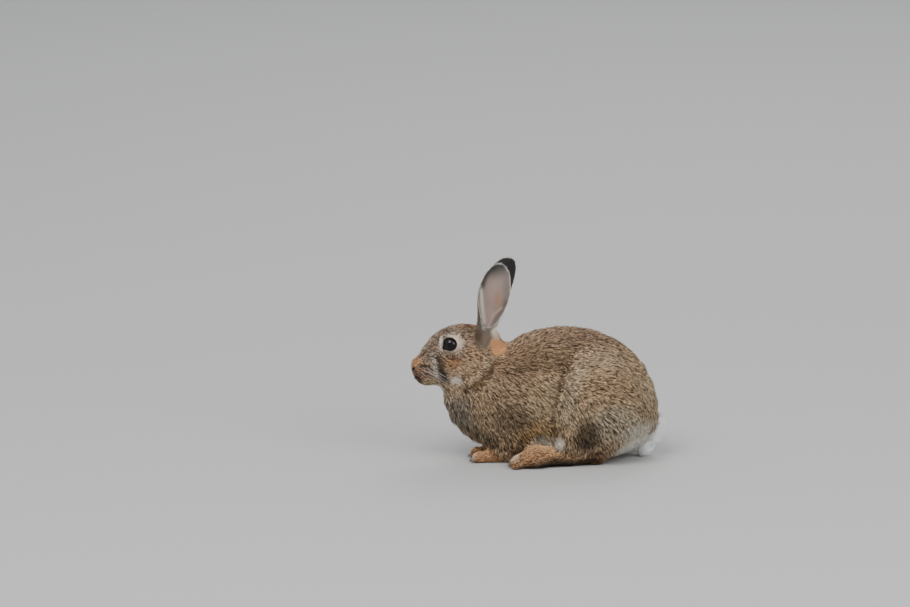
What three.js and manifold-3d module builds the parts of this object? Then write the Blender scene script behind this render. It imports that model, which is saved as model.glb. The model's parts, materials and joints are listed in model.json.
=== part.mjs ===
// A wild rabbit crouched on all fours, life size, as a still museum model.
// Millimetres, +Z up. The nose points to -X, and the rabbit's left side is on -Y.
// The body is one smooth field of rounded masses, out to the tips of the coat. It is meshed and then
// parted into named pieces with thin cuts, and the feet, ears, eyes and tail are set into it.
import * as THREE from 'three';
import { mergeVertices } from 'three/addons/utils/BufferGeometryUtils.js';
import Module from 'manifold-3d';

const wasm = await Module();
wasm.setup();
const { clamp, degToRad, smoothstep } = THREE.MathUtils;

// ---------------------------------------------------------------- driving sizes
const GAP = 0.35; // clear space between neighbouring pieces
const SOCKET_CLEAR = 0.42; // room round an eyeball in its socket
const STAND_OFF = 0.8; // how far a cutter made from another piece's field stands off it
const TORSO_CELL = 10.6; // mesh spacing on the trunk and haunches
const HEAD_CELL = 5.3; // mesh spacing on the head
const FOOT_CELL = 5.5; // mesh spacing on the feet and tail

const BACK = { x: 25, z: 53, half: 93.5, rise: 80.5, drop: 47, wide: 47 }; // the arched trunk
const FOREHEAD = { x: -81, z: 111 };
const EYE = { x: -89, y: 15.8, z: 120.6, radius: 8.2 };
const EAR = { y: 9, z: 124, length: 82.5, wide: 17.1, tube: 8.4, wall: 2.4, deep: 0.76, splay: 8 };
const NOTCH = { x: -3, z: 20, steep: 63, top: 59 }; // the bottom of the ear's opening, rising to the rear
const CLAW = { long: 7.5, thick: 1.3, sides: 6, inside: 3.6, down: 0.32 };

// Where the pieces part: planes across the neck, and an outline round each haunch, seen from the side.
const HEAD_CUT = { point: [-68, 0, 91], normal: [-0.6, 0, 0.8] };
const NECK_CUT = { point: [-58, 0, 84], normal: [-0.72, 0, 0.69] };
const HAUNCH_CUT = { x: 63, z: 50, half: 49, rise: 56, inner: 22, outer: 75, below: -20 };

// ---------------------------------------------------------------- fields
// A field gives the distance from a point to a surface, negative inside.

// An ellipsoid, turned by pitch about Y and yaw about Z (degrees). Its lower half may be flatter.
function ellipsoid({ at, radii, pitch = 0, yaw = 0, drop = null }) {
  const turn = new THREE.Matrix4().makeRotationFromEuler(
    new THREE.Euler(0, degToRad(pitch), degToRad(yaw), 'ZYX'),
  );
  const inverse = turn.invert().elements;
  const [rx, ry, rise] = radii;
  return (x, y, z) => {
    const dx = x - at[0];
    const dy = y - at[1];
    const dz = z - at[2];
    const u = inverse[0] * dx + inverse[4] * dy + inverse[8] * dz;
    const v = inverse[1] * dx + inverse[5] * dy + inverse[9] * dz;
    const w = inverse[2] * dx + inverse[6] * dy + inverse[10] * dz;
    const rz = drop !== null && w < 0 ? drop : rise;
    const near = Math.hypot(u / rx, v / ry, w / rz);
    const steep = Math.hypot(u / (rx * rx), v / (ry * ry), w / (rz * rz));
    return steep < 1e-9 ? -Math.min(rx, ry, rz) : (near * (near - 1)) / steep;
  };
}

// A limb between two balls, from radius ra to rb, as wide as flat times its height.
function limb(a, b, ra, rb, flat = 1) {
  const [ax, ay, az] = a;
  const dx = b[0] - ax;
  const dy = b[1] - ay;
  const dz = b[2] - az;
  const long = dx * dx + dy * dy + dz * dz;
  return (x, y, z) => {
    const t = clamp(((x - ax) * dx + (y - ay) * dy + (z - az) * dz) / long, 0, 1);
    const r = ra + (rb - ra) * t;
    const off = Math.hypot(x - ax - t * dx, (y - ay - t * dy) / flat, z - az - t * dz);
    return off - r;
  };
}

// Fields melted together, with a fillet of about this radius.
function melt(fillet, fields) {
  return (x, y, z) => {
    let d = fields[0](x, y, z);
    for (let i = 1; i < fields.length; i++) {
      const e = fields[i](x, y, z);
      const h = Math.max(fillet - Math.abs(d - e), 0) / fillet;
      d = Math.min(d, e) - h * h * fillet * 0.25;
    }
    return d;
  };
}

const bothSides = (field) => (x, y, z) => field(x, Math.abs(y), z);
const grown = (field, by) => (x, y, z) => field(x, y, z) - by;

// ---------------------------------------------------------------- meshing
// Surface nets: one vertex in each grid cell that the surface crosses, drawn onto the surface.
function surface(field, low, high, cell) {
  const count = low.map((v, i) => Math.ceil((high[i] - v) / cell) + 1);
  const [nx, ny, nz] = count;
  const at = (i, j, k) => i + nx * (j + ny * k);
  const value = new Float64Array(nx * ny * nz);
  for (let k = 0; k < nz; k++)
    for (let j = 0; j < ny; j++)
      for (let i = 0; i < nx; i++)
        value[at(i, j, k)] = field(low[0] + i * cell, low[1] + j * cell, low[2] + k * cell);
  closeSides(value, count);

  const corners = [];
  for (let c = 0; c < 8; c++) corners.push([c & 1, (c >> 1) & 1, (c >> 2) & 1]);
  const edges = [];
  for (let a = 0; a < 8; a++)
    for (const bit of [1, 2, 4]) if (!(a & bit)) edges.push([a, a | bit]);

  const points = [];
  const vertexOf = new Map();
  for (let k = 0; k < nz - 1; k++)
    for (let j = 0; j < ny - 1; j++)
      for (let i = 0; i < nx - 1; i++) {
        const v = corners.map(([a, b, c]) => value[at(i + a, j + b, k + c)]);
        const crossed = edges.filter(([a, b]) => v[a] < 0 !== v[b] < 0);
        if (!crossed.length) continue;
        const p = new THREE.Vector3();
        for (const [a, b] of crossed) {
          const t = v[a] / (v[a] - v[b]);
          p.x += corners[a][0] + t * (corners[b][0] - corners[a][0]);
          p.y += corners[a][1] + t * (corners[b][1] - corners[a][1]);
          p.z += corners[a][2] + t * (corners[b][2] - corners[a][2]);
        }
        p.divideScalar(crossed.length).add(new THREE.Vector3(i, j, k)).multiplyScalar(cell);
        p.add(new THREE.Vector3(...low));
        drawOnto(field, p, cell);
        vertexOf.set(at(i, j, k), points.length / 3);
        points.push(p.x, p.y, p.z);
      }

  const faces = [];
  const steps = [[1, 0, 0], [0, 1, 0], [0, 0, 1]];
  for (let k = 0; k < nz - 1; k++)
    for (let j = 0; j < ny - 1; j++)
      for (let i = 0; i < nx - 1; i++)
        steps.forEach(([a, b, c], axis) => {
          const inside = value[at(i, j, k)] < 0;
          if (inside === value[at(i + a, j + b, k + c)] < 0) return;
          const u = steps[(axis + 1) % 3];
          const w = steps[(axis + 2) % 3];
          const around = [[1, 1], [0, 1], [0, 0], [1, 0]].map(([m, n]) =>
            vertexOf.get(at(i - m * u[0] - n * w[0], j - m * u[1] - n * w[1], k - m * u[2] - n * w[2])),
          );
          if (!inside) around.reverse();
          faces.push(...twoTriangles(points, around));
        });

  const geometry = new THREE.BufferGeometry();
  geometry.setAttribute('position', new THREE.Float32BufferAttribute(points, 3));
  geometry.setIndex(faces);
  return geometry;
}

// Whatever runs out of the grid is closed at its sides.
function closeSides(value, [nx, ny, nz]) {
  for (let n = 0; n < value.length; n++) {
    const i = n % nx;
    const j = Math.floor(n / nx) % ny;
    const k = Math.floor(n / (nx * ny));
    const side = i === 0 || j === 0 || k === 0 || i === nx - 1 || j === ny - 1 || k === nz - 1;
    if (side) value[n] = Math.abs(value[n]) + 1e-6;
  }
}

// Moves p along the field's slope until it lies on the surface, by at most one cell.
function drawOnto(field, p, cell) {
  const start = p.clone();
  const e = 0.2;
  for (let n = 0; n < 3; n++) {
    const d = field(p.x, p.y, p.z);
    const slope = new THREE.Vector3(
      field(p.x + e, p.y, p.z) - field(p.x - e, p.y, p.z),
      field(p.x, p.y + e, p.z) - field(p.x, p.y - e, p.z),
      field(p.x, p.y, p.z + e) - field(p.x, p.y, p.z - e),
    ).divideScalar(2 * e);
    p.addScaledVector(slope, -d / Math.max(slope.lengthSq(), 0.1));
  }
  if (p.distanceTo(start) > cell) p.copy(start);
}

// A four-sided face as two triangles, cut along its shorter diagonal.
function twoTriangles(points, [a, b, c, d]) {
  const point = (n) => new THREE.Vector3().fromArray(points, 3 * n);
  const first = point(a).distanceTo(point(c));
  const second = point(b).distanceTo(point(d));
  return first < second ? [a, b, c, a, c, d] : [a, b, d, b, c, d];
}

// ---------------------------------------------------------------- solids
function solidOf(geometry) {
  const bare = new THREE.BufferGeometry();
  bare.setAttribute('position', geometry.getAttribute('position'));
  if (geometry.index) bare.setIndex(geometry.index);
  const merged = mergeVertices(bare, 1e-3);
  return new wasm.Manifold(
    new wasm.Mesh({
      numProp: 3,
      vertProperties: Float32Array.from(merged.attributes.position.array),
      triVerts: Uint32Array.from(merged.index.array),
    }),
  );
}

function geometryOf(solid) {
  const mesh = solid.getMesh();
  const geometry = new THREE.BufferGeometry();
  geometry.setAttribute('position', new THREE.BufferAttribute(mesh.vertProperties, 3));
  geometry.setIndex(new THREE.BufferAttribute(mesh.triVerts, 1));
  const flat = geometry.toNonIndexed();
  flat.computeVertexNormals();
  return flat;
}

const largest = (solid) => solid.decompose().sort((a, b) => b.volume() - a.volume())[0];

// Whether no edge has more than two faces.
function isPlain(geometry) {
  const faces = geometry.index.array;
  const seen = new Set();
  for (let i = 0; i < faces.length; i++) {
    const next = i % 3 === 2 ? i - 2 : i + 1;
    const edge = `${faces[i]} ${faces[next]}`;
    if (seen.has(edge)) return false;
    seen.add(edge);
  }
  return true;
}

// A grid that meets a narrow crease can give an edge four faces, so then it is moved a little.
function meshed(field, low, high, cell) {
  const step = cell / 23;
  for (let nudge = 0; nudge < cell; nudge += step) {
    const geometry = surface(field, low.map((v) => v - nudge), high, cell);
    if (isPlain(geometry)) return solidOf(geometry);
  }
  throw new Error('no grid gives a plain surface');
}

// Everything on the side of a plane that its normal points to, as a large block.
function halfSpace(point, normal, shift = 0) {
  const size = 600;
  const block = new THREE.BoxGeometry(size, size, size);
  block.translate(0, 0, size / 2);
  const n = new THREE.Vector3(...normal).normalize();
  block.applyQuaternion(new THREE.Quaternion().setFromUnitVectors(new THREE.Vector3(0, 0, 1), n));
  const from = new THREE.Vector3(...point).addScaledVector(n, shift);
  block.translate(from.x, from.y, from.z);
  return solidOf(block);
}
const ABOVE_FLOOR = halfSpace([0, 0, 0], [0, 0, 1]);

// ---------------------------------------------------------------- the body's masses
const torso = melt(16, [
  ellipsoid({ at: [BACK.x, 0, BACK.z], radii: [BACK.half, BACK.wide, BACK.rise], drop: BACK.drop }),
  ellipsoid({ at: [-40, 0, 70], radii: [56, 35, 40], drop: 57 }), // chest
  ellipsoid({ at: [-36, 21, 58], radii: [30, 21, 38], pitch: 12 }), // shoulder
  ellipsoid({ at: [-23, 15, 22], radii: [24, 16, 15], pitch: -4 }), // elbow and breast, close to the ground
]);
const haunch = ellipsoid({ at: [62, 30, 55], radii: [46, 29, 50], pitch: -8, yaw: -3 });
const knee = ellipsoid({ at: [33, 41, 30], radii: [19, 15, 24], pitch: 14 });
const rump = ellipsoid({ at: [82, 0, 42], radii: [35.5, 43, 38] });
const neck = melt(10, [
  ellipsoid({ at: [-61, 0, 97], radii: [27, 27, 26], pitch: -25 }),
  ellipsoid({ at: [-49.5, 0, 119.5], radii: [11.5, 12, 15], pitch: 12 }), // nape, behind the ears
  ellipsoid({ at: [-76, 0, 84], radii: [24, 22, 20], pitch: 20 }), // throat
]);

const skull = melt(9, [
  ellipsoid({ at: [FOREHEAD.x, 0, FOREHEAD.z], radii: [35, 21, 26], pitch: -20 }),
  limb([-96, 0, 108], [-115, 0, 95], 17.5, 12.2, 0.86), // bridge of the nose and muzzle
  ellipsoid({ at: [-84, 10, 96], radii: [22, 12.5, 19], pitch: -15 }), // cheek
  ellipsoid({ at: [-88, 13, 124], radii: [11, 6, 6.5], pitch: -18 }), // brow
]);
const snout = melt(6, [
  ellipsoid({ at: [-121.3, 0, 95.3], radii: [6.8, 7.5, 8.4], pitch: -20 }), // nose
  ellipsoid({ at: [-115.5, 5.8, 88.5], radii: [10, 7.4, 8.4], pitch: -10, yaw: -12 }), // whisker pad
  ellipsoid({ at: [-110, 0, 82], radii: [12, 8, 6.8], pitch: -6 }), // chin
]);
const head = melt(5, [skull, snout]);

const trunk = melt(12, [torso, rump]);
const hindLimb = melt(11, [haunch, knee]);
const body = bothSides(melt(10, [melt(9, [melt(8, [trunk, hindLimb]), neck]), head]));

// ---------------------------------------------------------------- legs and tail
// Paws and feet lie along the ground, toes to the front. They are given on the +Y side.
// The forepaws are set close together, a little to the left: left and right say how far out each lies.
const FOREPAW = { x: -44, toe: -62, toeOut: 2, left: 17, right: 1 };
const forelegField = (out) =>
  melt(2.2, [
    limb([-33, out + 3, 44], [-43, out, 15], 14, 8.6),
    limb([FOREPAW.x, out, 7], [FOREPAW.toe, out + FOREPAW.toeOut, 5.3], 8, 6, 1.05),
    limb([FOREPAW.x, out, 8], [-30, out + 3, 11], 8.2, 9.5), // forearm, back to the elbow
    ...forepawToes(out).map(ridge),
  ]);
const FOOT = { heel: [56, 33, 8.5], middle: [28, 39, 9.2], ball: [-6, 44.5, 10.6], toes: [-25, 46.5, 6.6] };
const hindFoot = melt(5, [
  limb(FOOT.heel, FOOT.middle, 9.6, 9, 1.1),
  limb(FOOT.middle, FOOT.ball, 9, 11.2, 1.08),
  limb(FOOT.ball, FOOT.toes, 11.2, 6.3, 1.35),
  limb(FOOT.heel, [52, 33, 24], 9.6, 12), // hock, going up into the haunch
]);

// Toes: small ridges at the front of a paw or foot, spread like a fan.
function toes({ root, reach, count, turn, apart, thick, height }) {
  const ridges = [];
  for (let i = 0; i < count; i++) {
    const side = i - (count - 1) / 2;
    const angle = turn + side * apart * 0.03;
    const long = reach - Math.abs(side) * 1.3;
    const start = [root[0], root[1] + side * apart * 0.8, height + 1];
    const end = [root[0] - long * Math.cos(angle), root[1] + side * apart + long * Math.sin(angle), height];
    ridges.push({ start, end, thick });
  }
  return ridges;
}
function forepawToes(out) {
  const root = [FOREPAW.toe + 4, out + 1.5];
  return toes({ root, reach: 8, count: 4, turn: 0.1, apart: 3.4, thick: 3, height: 3 });
}
const FOOT_TOES = toes({
  root: [-19, 45.5], reach: 10, count: 4, turn: 0.16, apart: 4.7, thick: 3.9, height: 3.9,
});
function ridge({ start, end, thick }) {
  return limb(start, end, thick * 1.15, thick);
}
const hindFootField = melt(2.6, [hindFoot, ...FOOT_TOES.map(ridge)]);

const tailField = bothSides(
  melt(6, [
    ellipsoid({ at: [104, 0, 12], radii: [11, 12, 11] }),
    ellipsoid({ at: [114, 0, 22], radii: [9, 13, 18], pitch: 28 }),
    ellipsoid({ at: [119, 0, 30], radii: [7.5, 10.5, 13], pitch: 22 }),
  ]),
);

// A claw: a cone out of the end of a toe, pointing forwards and down.
function clawSolid({ start, end, thick }, side) {
  const geometry = new THREE.ConeGeometry(CLAW.thick, CLAW.long, CLAW.sides);
  geometry.translate(0, thick + CLAW.long / 2 - CLAW.inside, 0);
  const along = new THREE.Vector3(end[0] - start[0], side * (end[1] - start[1]), 0).normalize();
  along.z = -CLAW.down;
  along.normalize();
  geometry.applyQuaternion(new THREE.Quaternion().setFromUnitVectors(new THREE.Vector3(0, 1, 0), along));
  geometry.translate(end[0], side * end[1], end[2]);
  return solidOf(geometry);
}

// ---------------------------------------------------------------- ears
// An ear is a curled leaf: a tube at its foot that opens into a spoon. It is lofted along its spine
// from arcs, each between the two margins, with an outer and an inner wall joined round the rim.
const EAR_ROWS = 14;
const EAR_ACROSS = 9;
const EAR_FOOT = 0.15; // how far the tube goes on below the root, as a share of the length

function earHalfWidth(t) {
  if (t < 0.64) return EAR.tube + (EAR.wide - EAR.tube) * smoothstep(t, 0.05, 0.66);
  return EAR.wide * Math.pow(Math.max(1 - Math.pow((t - 0.64) / 0.36, 2.1), 0), 0.47);
}

// How far the arc turns to its front and rear margins: nearly closed at the foot, then opening out
// towards the tip. The front margin is rolled in further.
function earCurl(t) {
  const rear = 150 - 95 * t + 26 * (1 - smoothstep(t, 0.1, 0.28));
  const front = Math.max(180 - 147 * t, 150 - 95 * t);
  return { front: degToRad(Math.min(front, 168)), rear: degToRad(Math.min(rear, 168)) };
}

function earGeometry(bow) {
  const bend = new THREE.CatmullRomCurve3([
    new THREE.Vector3(-bow, 0, 0),
    new THREE.Vector3(0.9 - bow, 0.8, 0.33 * EAR.length),
    new THREE.Vector3(-bow, 0.6, 0.67 * EAR.length),
    new THREE.Vector3(-2, -1, EAR.length),
  ]);
  const points = [];
  for (let i = 0; i <= EAR_ROWS; i++) {
    const t = Math.sin((i / EAR_ROWS) * (Math.PI / 2)) * (1 + EAR_FOOT) - EAR_FOOT;
    const up = Math.max(t, 0);
    const p = bend.getPoint(up);
    const height = t < 0 ? t * EAR.length : p.z;
    const { front, rear } = earCurl(up);
    const radius = Math.max(earHalfWidth(up), 1.2) / Math.sin(Math.min(rear, Math.PI / 2));
    const wall = EAR.wall * (1 - 0.35 * up);
    for (const side of [1, -1])
      for (let j = 0; j <= EAR_ACROSS; j++) {
        const share = side > 0 ? j / EAR_ACROSS : 1 - j / EAR_ACROSS;
        const turn = share * (front + rear) - front;
        const thin = 1 - 0.45 * Math.pow(Math.abs(2 * share - 1), 4);
        const r = radius + 0.5 * side * wall * thin;
        points.push(p.x + r * Math.sin(turn), p.y + EAR.deep * (radius - r * Math.cos(turn)), height);
      }
  }
  const faces = [];
  const ring = 2 * (EAR_ACROSS + 1);
  for (let i = 0; i < EAR_ROWS; i++)
    for (let j = 0; j < ring; j++) {
      const here = i * ring + j;
      const next = i * ring + ((j + 1) % ring);
      faces.push(here, next, next + ring, here, next + ring, here + ring);
    }
  // The foot and the tip are closed between the outer and the inner wall.
  const top = EAR_ROWS * ring;
  for (let j = 0; j < EAR_ACROSS; j++) {
    const back = ring - 1 - j;
    faces.push(j + 1, j, back, j + 1, back, back - 1);
    faces.push(top + j, top + j + 1, top + back, top + j + 1, top + back - 1, top + back);
  }
  const geometry = new THREE.BufferGeometry();
  geometry.setAttribute('position', new THREE.Float32BufferAttribute(points, 3));
  geometry.setIndex(faces);
  return geometry;
}

// The tube is filled below the notch, layer by layer. The fill's top slopes up to the rear margin.
const FILL_LAYERS = 7;
function filledEar(bow) {
  const leaf = solidOf(earGeometry(bow));
  const steep = degToRad(NOTCH.steep);
  const below = leaf.intersect(halfSpace([NOTCH.x, 0, NOTCH.z], [Math.sin(steep), 0, -Math.cos(steep)]));
  const foot = -EAR_FOOT * EAR.length;
  const high = (NOTCH.top - foot) / FILL_LAYERS;
  let filled = leaf;
  for (let i = 0; i < FILL_LAYERS; i++) {
    const layer = below
      .intersect(halfSpace([0, 0, foot + i * high], [0, 0, 1]))
      .intersect(halfSpace([0, 0, foot + (i + 1) * high], [0, 0, -1]));
    filled = filled.add(layer.hull());
  }
  return filled;
}

// side is -1 for the left ear. It leans back, its spine bows forwards, and its opening is turned by
// face from outwards to the rear.
function earSolid(side, { x, lean, face, bow }) {
  const upright = filledEar(bow);
  return (side < 0 ? upright.mirror([0, 1, 0]) : upright)
    .rotate([0, 0, -face * side])
    .rotate([-EAR.splay * side, 0, 0])
    .rotate([0, lean, 0])
    .translate([x, EAR.y * side, EAR.z]);
}

// ---------------------------------------------------------------- parting the body
const BODY_BOX = [[-140, -75, -11], [135, 75, 150]];
const HEAD_BOX = [[-140, -48, 60], [-20, 48, 150]];
const whole = meshed(body, ...BODY_BOX, TORSO_CELL).intersect(ABOVE_FLOOR);
const wholeGrown = meshed(grown(body, STAND_OFF), ...BODY_BOX, TORSO_CELL);
const headWhole = meshed(body, ...HEAD_BOX, HEAD_CELL);
const headGrown = meshed(grown(body, STAND_OFF), ...HEAD_BOX, HEAD_CELL);

const beyond = (cut, shift) => halfSpace(cut.point, cut.normal, shift);

// The haunch's outline from the side: upright in front and behind, round above.
function haunchBlock(side, margin) {
  const { x, z, half, rise, inner, outer, below } = HAUNCH_CUT;
  const outline = new THREE.Shape();
  outline.moveTo(x - half - margin, below);
  outline.lineTo(x - half - margin, z);
  outline.absellipse(x, z, half + margin, rise + margin, Math.PI, 0, true);
  outline.lineTo(x + half + margin, below);
  const depth = outer - inner + margin;
  const block = new THREE.ExtrudeGeometry(outline, { depth, bevelEnabled: false, curveSegments: 14 });
  block.rotateX(Math.PI / 2);
  block.translate(0, side < 0 ? -inner + margin : outer, 0);
  return solidOf(block);
}

// An eyeball, or with swell the socket round it. Its poles point outwards.
function eyeball(side, swell) {
  const ball = new THREE.SphereGeometry(EYE.radius + swell, 12, 8);
  ball.rotateX(Math.PI / 2);
  ball.translate(EYE.x, side * EYE.y, EYE.z);
  return solidOf(ball);
}

const SIDES = [
  { name: 'left', side: -1, out: FOREPAW.left, ear: { x: -54, lean: 11, face: 12, bow: 5 } },
  { name: 'right', side: 1, out: FOREPAW.right, ear: { x: -52, lean: 20, face: -25, bow: 0.5 } },
];

// A foot or foreleg on one side, from its field and its room. swell makes it larger, as a cutter.
function footSolid(field, side, [x, y, z], swell) {
  const [near, far] = side < 0 ? [-y[1], -y[0]] : y;
  const onSide = (px, py, pz) => field(px, side * py, pz) - swell;
  return meshed(onSide, [x[0], near, z[0]], [x[1], far, z[1]], FOOT_CELL);
}
const FORELEG_ROOM = [[-80, -12], [-14, 40], [-8, 68]];
const FOOT_ROOM = [[-46, 78], [12, 74], [-8, 44]];
const TAIL_ROOM = [[80, -30, -10], [140, 30, 60]];

const pieces = new Map();
let trunkPiece = whole.subtract(beyond(NECK_CUT, -GAP / 2));
let headPiece = headWhole.intersect(beyond(HEAD_CUT, GAP / 2));
pieces.set('neck', whole.intersect(beyond(NECK_CUT, GAP / 2)).subtract(beyond(HEAD_CUT, -GAP / 2)));

for (const { name, side, out, ear } of SIDES) {
  pieces.set(`eye_${name}`, eyeball(side, 0));
  headPiece = headPiece.subtract(eyeball(side, SOCKET_CLEAR));
  pieces.set(`ear_${name}`, earSolid(side, ear).subtract(headGrown));

  const footCutter = footSolid(hindFootField, side, FOOT_ROOM, STAND_OFF);
  pieces.set(`haunch_${name}`, whole.intersect(haunchBlock(side, 0)).subtract(footCutter));
  trunkPiece = trunkPiece.subtract(haunchBlock(side, GAP)).subtract(footCutter);
  pieces.set(`hind_foot_${name}`, footSolid(hindFootField, side, FOOT_ROOM, 0).intersect(ABOVE_FLOOR));

  const field = forelegField(out);
  const pawCutter = footSolid(field, side, FORELEG_ROOM, STAND_OFF);
  const foreleg = footSolid(field, side, FORELEG_ROOM, 0).intersect(ABOVE_FLOOR);
  pieces.set(`foreleg_${name}`, foreleg.subtract(wholeGrown));

  const clawOf = (cutter) => (toe) => clawSolid(toe, side).subtract(cutter).intersect(ABOVE_FLOOR);
  const foreClaws = forepawToes(out).map(clawOf(pawCutter));
  const hindClaws = FOOT_TOES.map(clawOf(footCutter));
  foreClaws.forEach((claw, i) => pieces.set(`claw_fore_${name}_${i + 1}`, claw));
  hindClaws.forEach((claw, i) => pieces.set(`claw_hind_${name}_${i + 1}`, claw));
}
const tail = meshed(tailField, ...TAIL_ROOM, FOOT_CELL).intersect(ABOVE_FLOOR);
pieces.set('tail', tail.subtract(wholeGrown));
pieces.set('head', headPiece);
pieces.set('trunk', trunkPiece);

// ---------------------------------------------------------------- the model
const coat = (color) => new THREE.MeshStandardMaterial({ color, roughness: 0.95, metalness: 0 });
const FINISHES = {
  eye: new THREE.MeshStandardMaterial({ color: 0x1a100b, roughness: 0.08, metalness: 0 }),
  claw: new THREE.MeshStandardMaterial({ color: 0x4d4038, roughness: 0.4, metalness: 0 }),
  ear: coat(0x9a8577),
  tail: coat(0xe9e4dc),
  head: coat(0x8c7358),
  foreleg: coat(0xa37d5b),
  hind: coat(0xa8825a),
};
const BODY_COAT = coat(0x86705a);

// Each piece is placed by the middle of its foot, and the whole stands on the origin.
const standing = new THREE.Group();
for (const [name, solid] of pieces) {
  const geometry = geometryOf(largest(solid));
  geometry.computeBoundingBox();
  const { min, max } = geometry.boundingBox;
  const foot = new THREE.Vector3((min.x + max.x) / 2, (min.y + max.y) / 2, min.z);
  geometry.translate(-foot.x, -foot.y, -foot.z);
  const mesh = new THREE.Mesh(geometry, FINISHES[name.split('_')[0]] ?? BODY_COAT);
  mesh.name = name;
  mesh.position.copy(foot);
  standing.add(mesh);
}
const room = new THREE.Box3().setFromObject(standing, true);
standing.position.set(-(room.min.x + room.max.x) / 2, -(room.min.y + room.max.y) / 2, -room.min.z);

const rabbit = new THREE.Group();
rabbit.add(standing);
export default rabbit;
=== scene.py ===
"""A wild rabbit, life size and still, crouched with its ears up: skin, eyes, coat and claws on its frame."""

import json
import math

import bpy
import numpy as np
from mathutils import Matrix, Vector
from mathutils.bvhtree import BVHTree
from mathutils.kdtree import KDTree

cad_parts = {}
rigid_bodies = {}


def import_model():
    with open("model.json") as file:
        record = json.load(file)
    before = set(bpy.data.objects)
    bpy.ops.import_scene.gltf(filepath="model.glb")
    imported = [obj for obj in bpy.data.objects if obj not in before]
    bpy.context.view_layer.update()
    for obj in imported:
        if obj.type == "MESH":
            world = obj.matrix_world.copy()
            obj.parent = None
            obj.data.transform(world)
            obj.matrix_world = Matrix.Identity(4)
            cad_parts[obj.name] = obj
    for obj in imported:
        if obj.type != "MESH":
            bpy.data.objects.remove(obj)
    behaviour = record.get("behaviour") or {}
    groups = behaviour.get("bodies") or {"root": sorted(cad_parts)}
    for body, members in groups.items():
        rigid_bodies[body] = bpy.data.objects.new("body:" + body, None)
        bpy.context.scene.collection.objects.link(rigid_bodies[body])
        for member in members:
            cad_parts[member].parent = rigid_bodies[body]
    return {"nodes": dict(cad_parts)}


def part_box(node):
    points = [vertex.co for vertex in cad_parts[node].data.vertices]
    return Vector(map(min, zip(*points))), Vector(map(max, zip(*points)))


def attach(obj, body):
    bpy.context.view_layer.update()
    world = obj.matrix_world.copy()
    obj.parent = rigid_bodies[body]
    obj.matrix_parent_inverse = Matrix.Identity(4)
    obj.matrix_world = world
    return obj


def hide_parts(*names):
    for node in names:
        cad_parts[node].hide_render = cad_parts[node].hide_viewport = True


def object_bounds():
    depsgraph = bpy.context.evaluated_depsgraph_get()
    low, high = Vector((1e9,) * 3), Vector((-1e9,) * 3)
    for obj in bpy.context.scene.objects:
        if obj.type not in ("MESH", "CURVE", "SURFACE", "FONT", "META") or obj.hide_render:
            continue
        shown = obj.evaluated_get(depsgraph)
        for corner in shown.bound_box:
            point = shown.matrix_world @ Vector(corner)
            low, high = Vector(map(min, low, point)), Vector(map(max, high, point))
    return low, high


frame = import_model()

cad_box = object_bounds()
LOW, HIGH = cad_box
LENGTH = HIGH.x - LOW.x
HEIGHT = HIGH.z - LOW.z
MM = 0.001

# ---------------------------------------------------------------- camera
# A 200 mm lens on a small sensor, eight metres off and a little above, as wild animals are
# watched. It looks at the rabbit's left side, with the rump slightly farther away than the nose.
CAMERA_TURN = math.radians(4)
CAMERA_DOWN = math.radians(12)
CAMERA_FAR = 8.161
LOOK_ALONG, LOOK_UP = 0.175, 0.7755
LOOK_AT = Vector((LOW.x + LOOK_ALONG * LENGTH, 0, LOOK_UP * HEIGHT))

towards = Vector((
    math.sin(CAMERA_TURN) * math.cos(CAMERA_DOWN),
    math.cos(CAMERA_TURN) * math.cos(CAMERA_DOWN),
    -math.sin(CAMERA_DOWN),
))
bpy.ops.object.camera_add(
    location=LOOK_AT - CAMERA_FAR * towards,
    rotation=towards.to_track_quat("-Z", "Y").to_euler(),
)
camera = bpy.context.object
camera.name = "camera"
camera.data.lens = 200
camera.data.sensor_width = 22.3
camera.data.clip_end = 100
bpy.context.scene.camera = camera

# ---------------------------------------------------------------- floor and light
# A plain pale studio floor, wide enough to fill the view from every side. The light is a big
# soft box high on the left, a weaker one on the right, and a pale room all round.
FLOOR_WIDE = 60
FLOOR_COLOUR = "#b9b8b6"
ROOM_COLOUR = "#e9edf2"
ROOM_BRIGHT = 0.72
LAMPS_AIM = Vector((0, 0, 0.08))


def linear(hex_colour):
    """The linear red, green and blue of an sRGB hex colour."""
    parts = [int(hex_colour[i:i + 2], 16) / 255 for i in (1, 3, 5)]
    return [p / 12.92 if p <= 0.04045 else ((p + 0.055) / 1.055) ** 2.4 for p in parts]


def node(tree, kind, settings=None, **inputs):
    """Adds a node; settings are its properties, and each input is a value or a socket to link."""
    made = tree.nodes.new(kind)
    for key, value in (settings or {}).items():
        setattr(made, key, value)
    for key, value in inputs.items():
        name = key.replace("_", " ")
        socket = made.inputs[int(name[1:])] if name[0] == "n" and name[1:].isdigit() else made.inputs[name]
        if isinstance(value, bpy.types.NodeSocket):
            tree.links.new(value, socket)
        else:
            socket.default_value = value
    return made


def material(name):
    """A new node material: its tree, and its Principled shader."""
    made = bpy.data.materials.new(name)
    made.use_nodes = True
    return made, made.node_tree, made.node_tree.nodes["Principled BSDF"]


def only(*objects):
    """Deselects everything, then selects these objects and makes the first one active."""
    bpy.ops.object.select_all(action="DESELECT")
    for o in objects:
        o.select_set(True)
    bpy.context.view_layer.objects.active = objects[0]


floor_paint, tree, shader = material("matt studio floor paint")
shader.inputs["Base Color"].default_value = (*linear(FLOOR_COLOUR), 1)
shader.inputs["Roughness"].default_value = 0.9
shader.inputs["Specular IOR Level"].default_value = 0.2
bpy.ops.mesh.primitive_plane_add(size=FLOOR_WIDE, location=(0, 0, 0))
floor = bpy.context.object
floor.name = "floor"
floor.data.materials.append(floor_paint)

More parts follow.
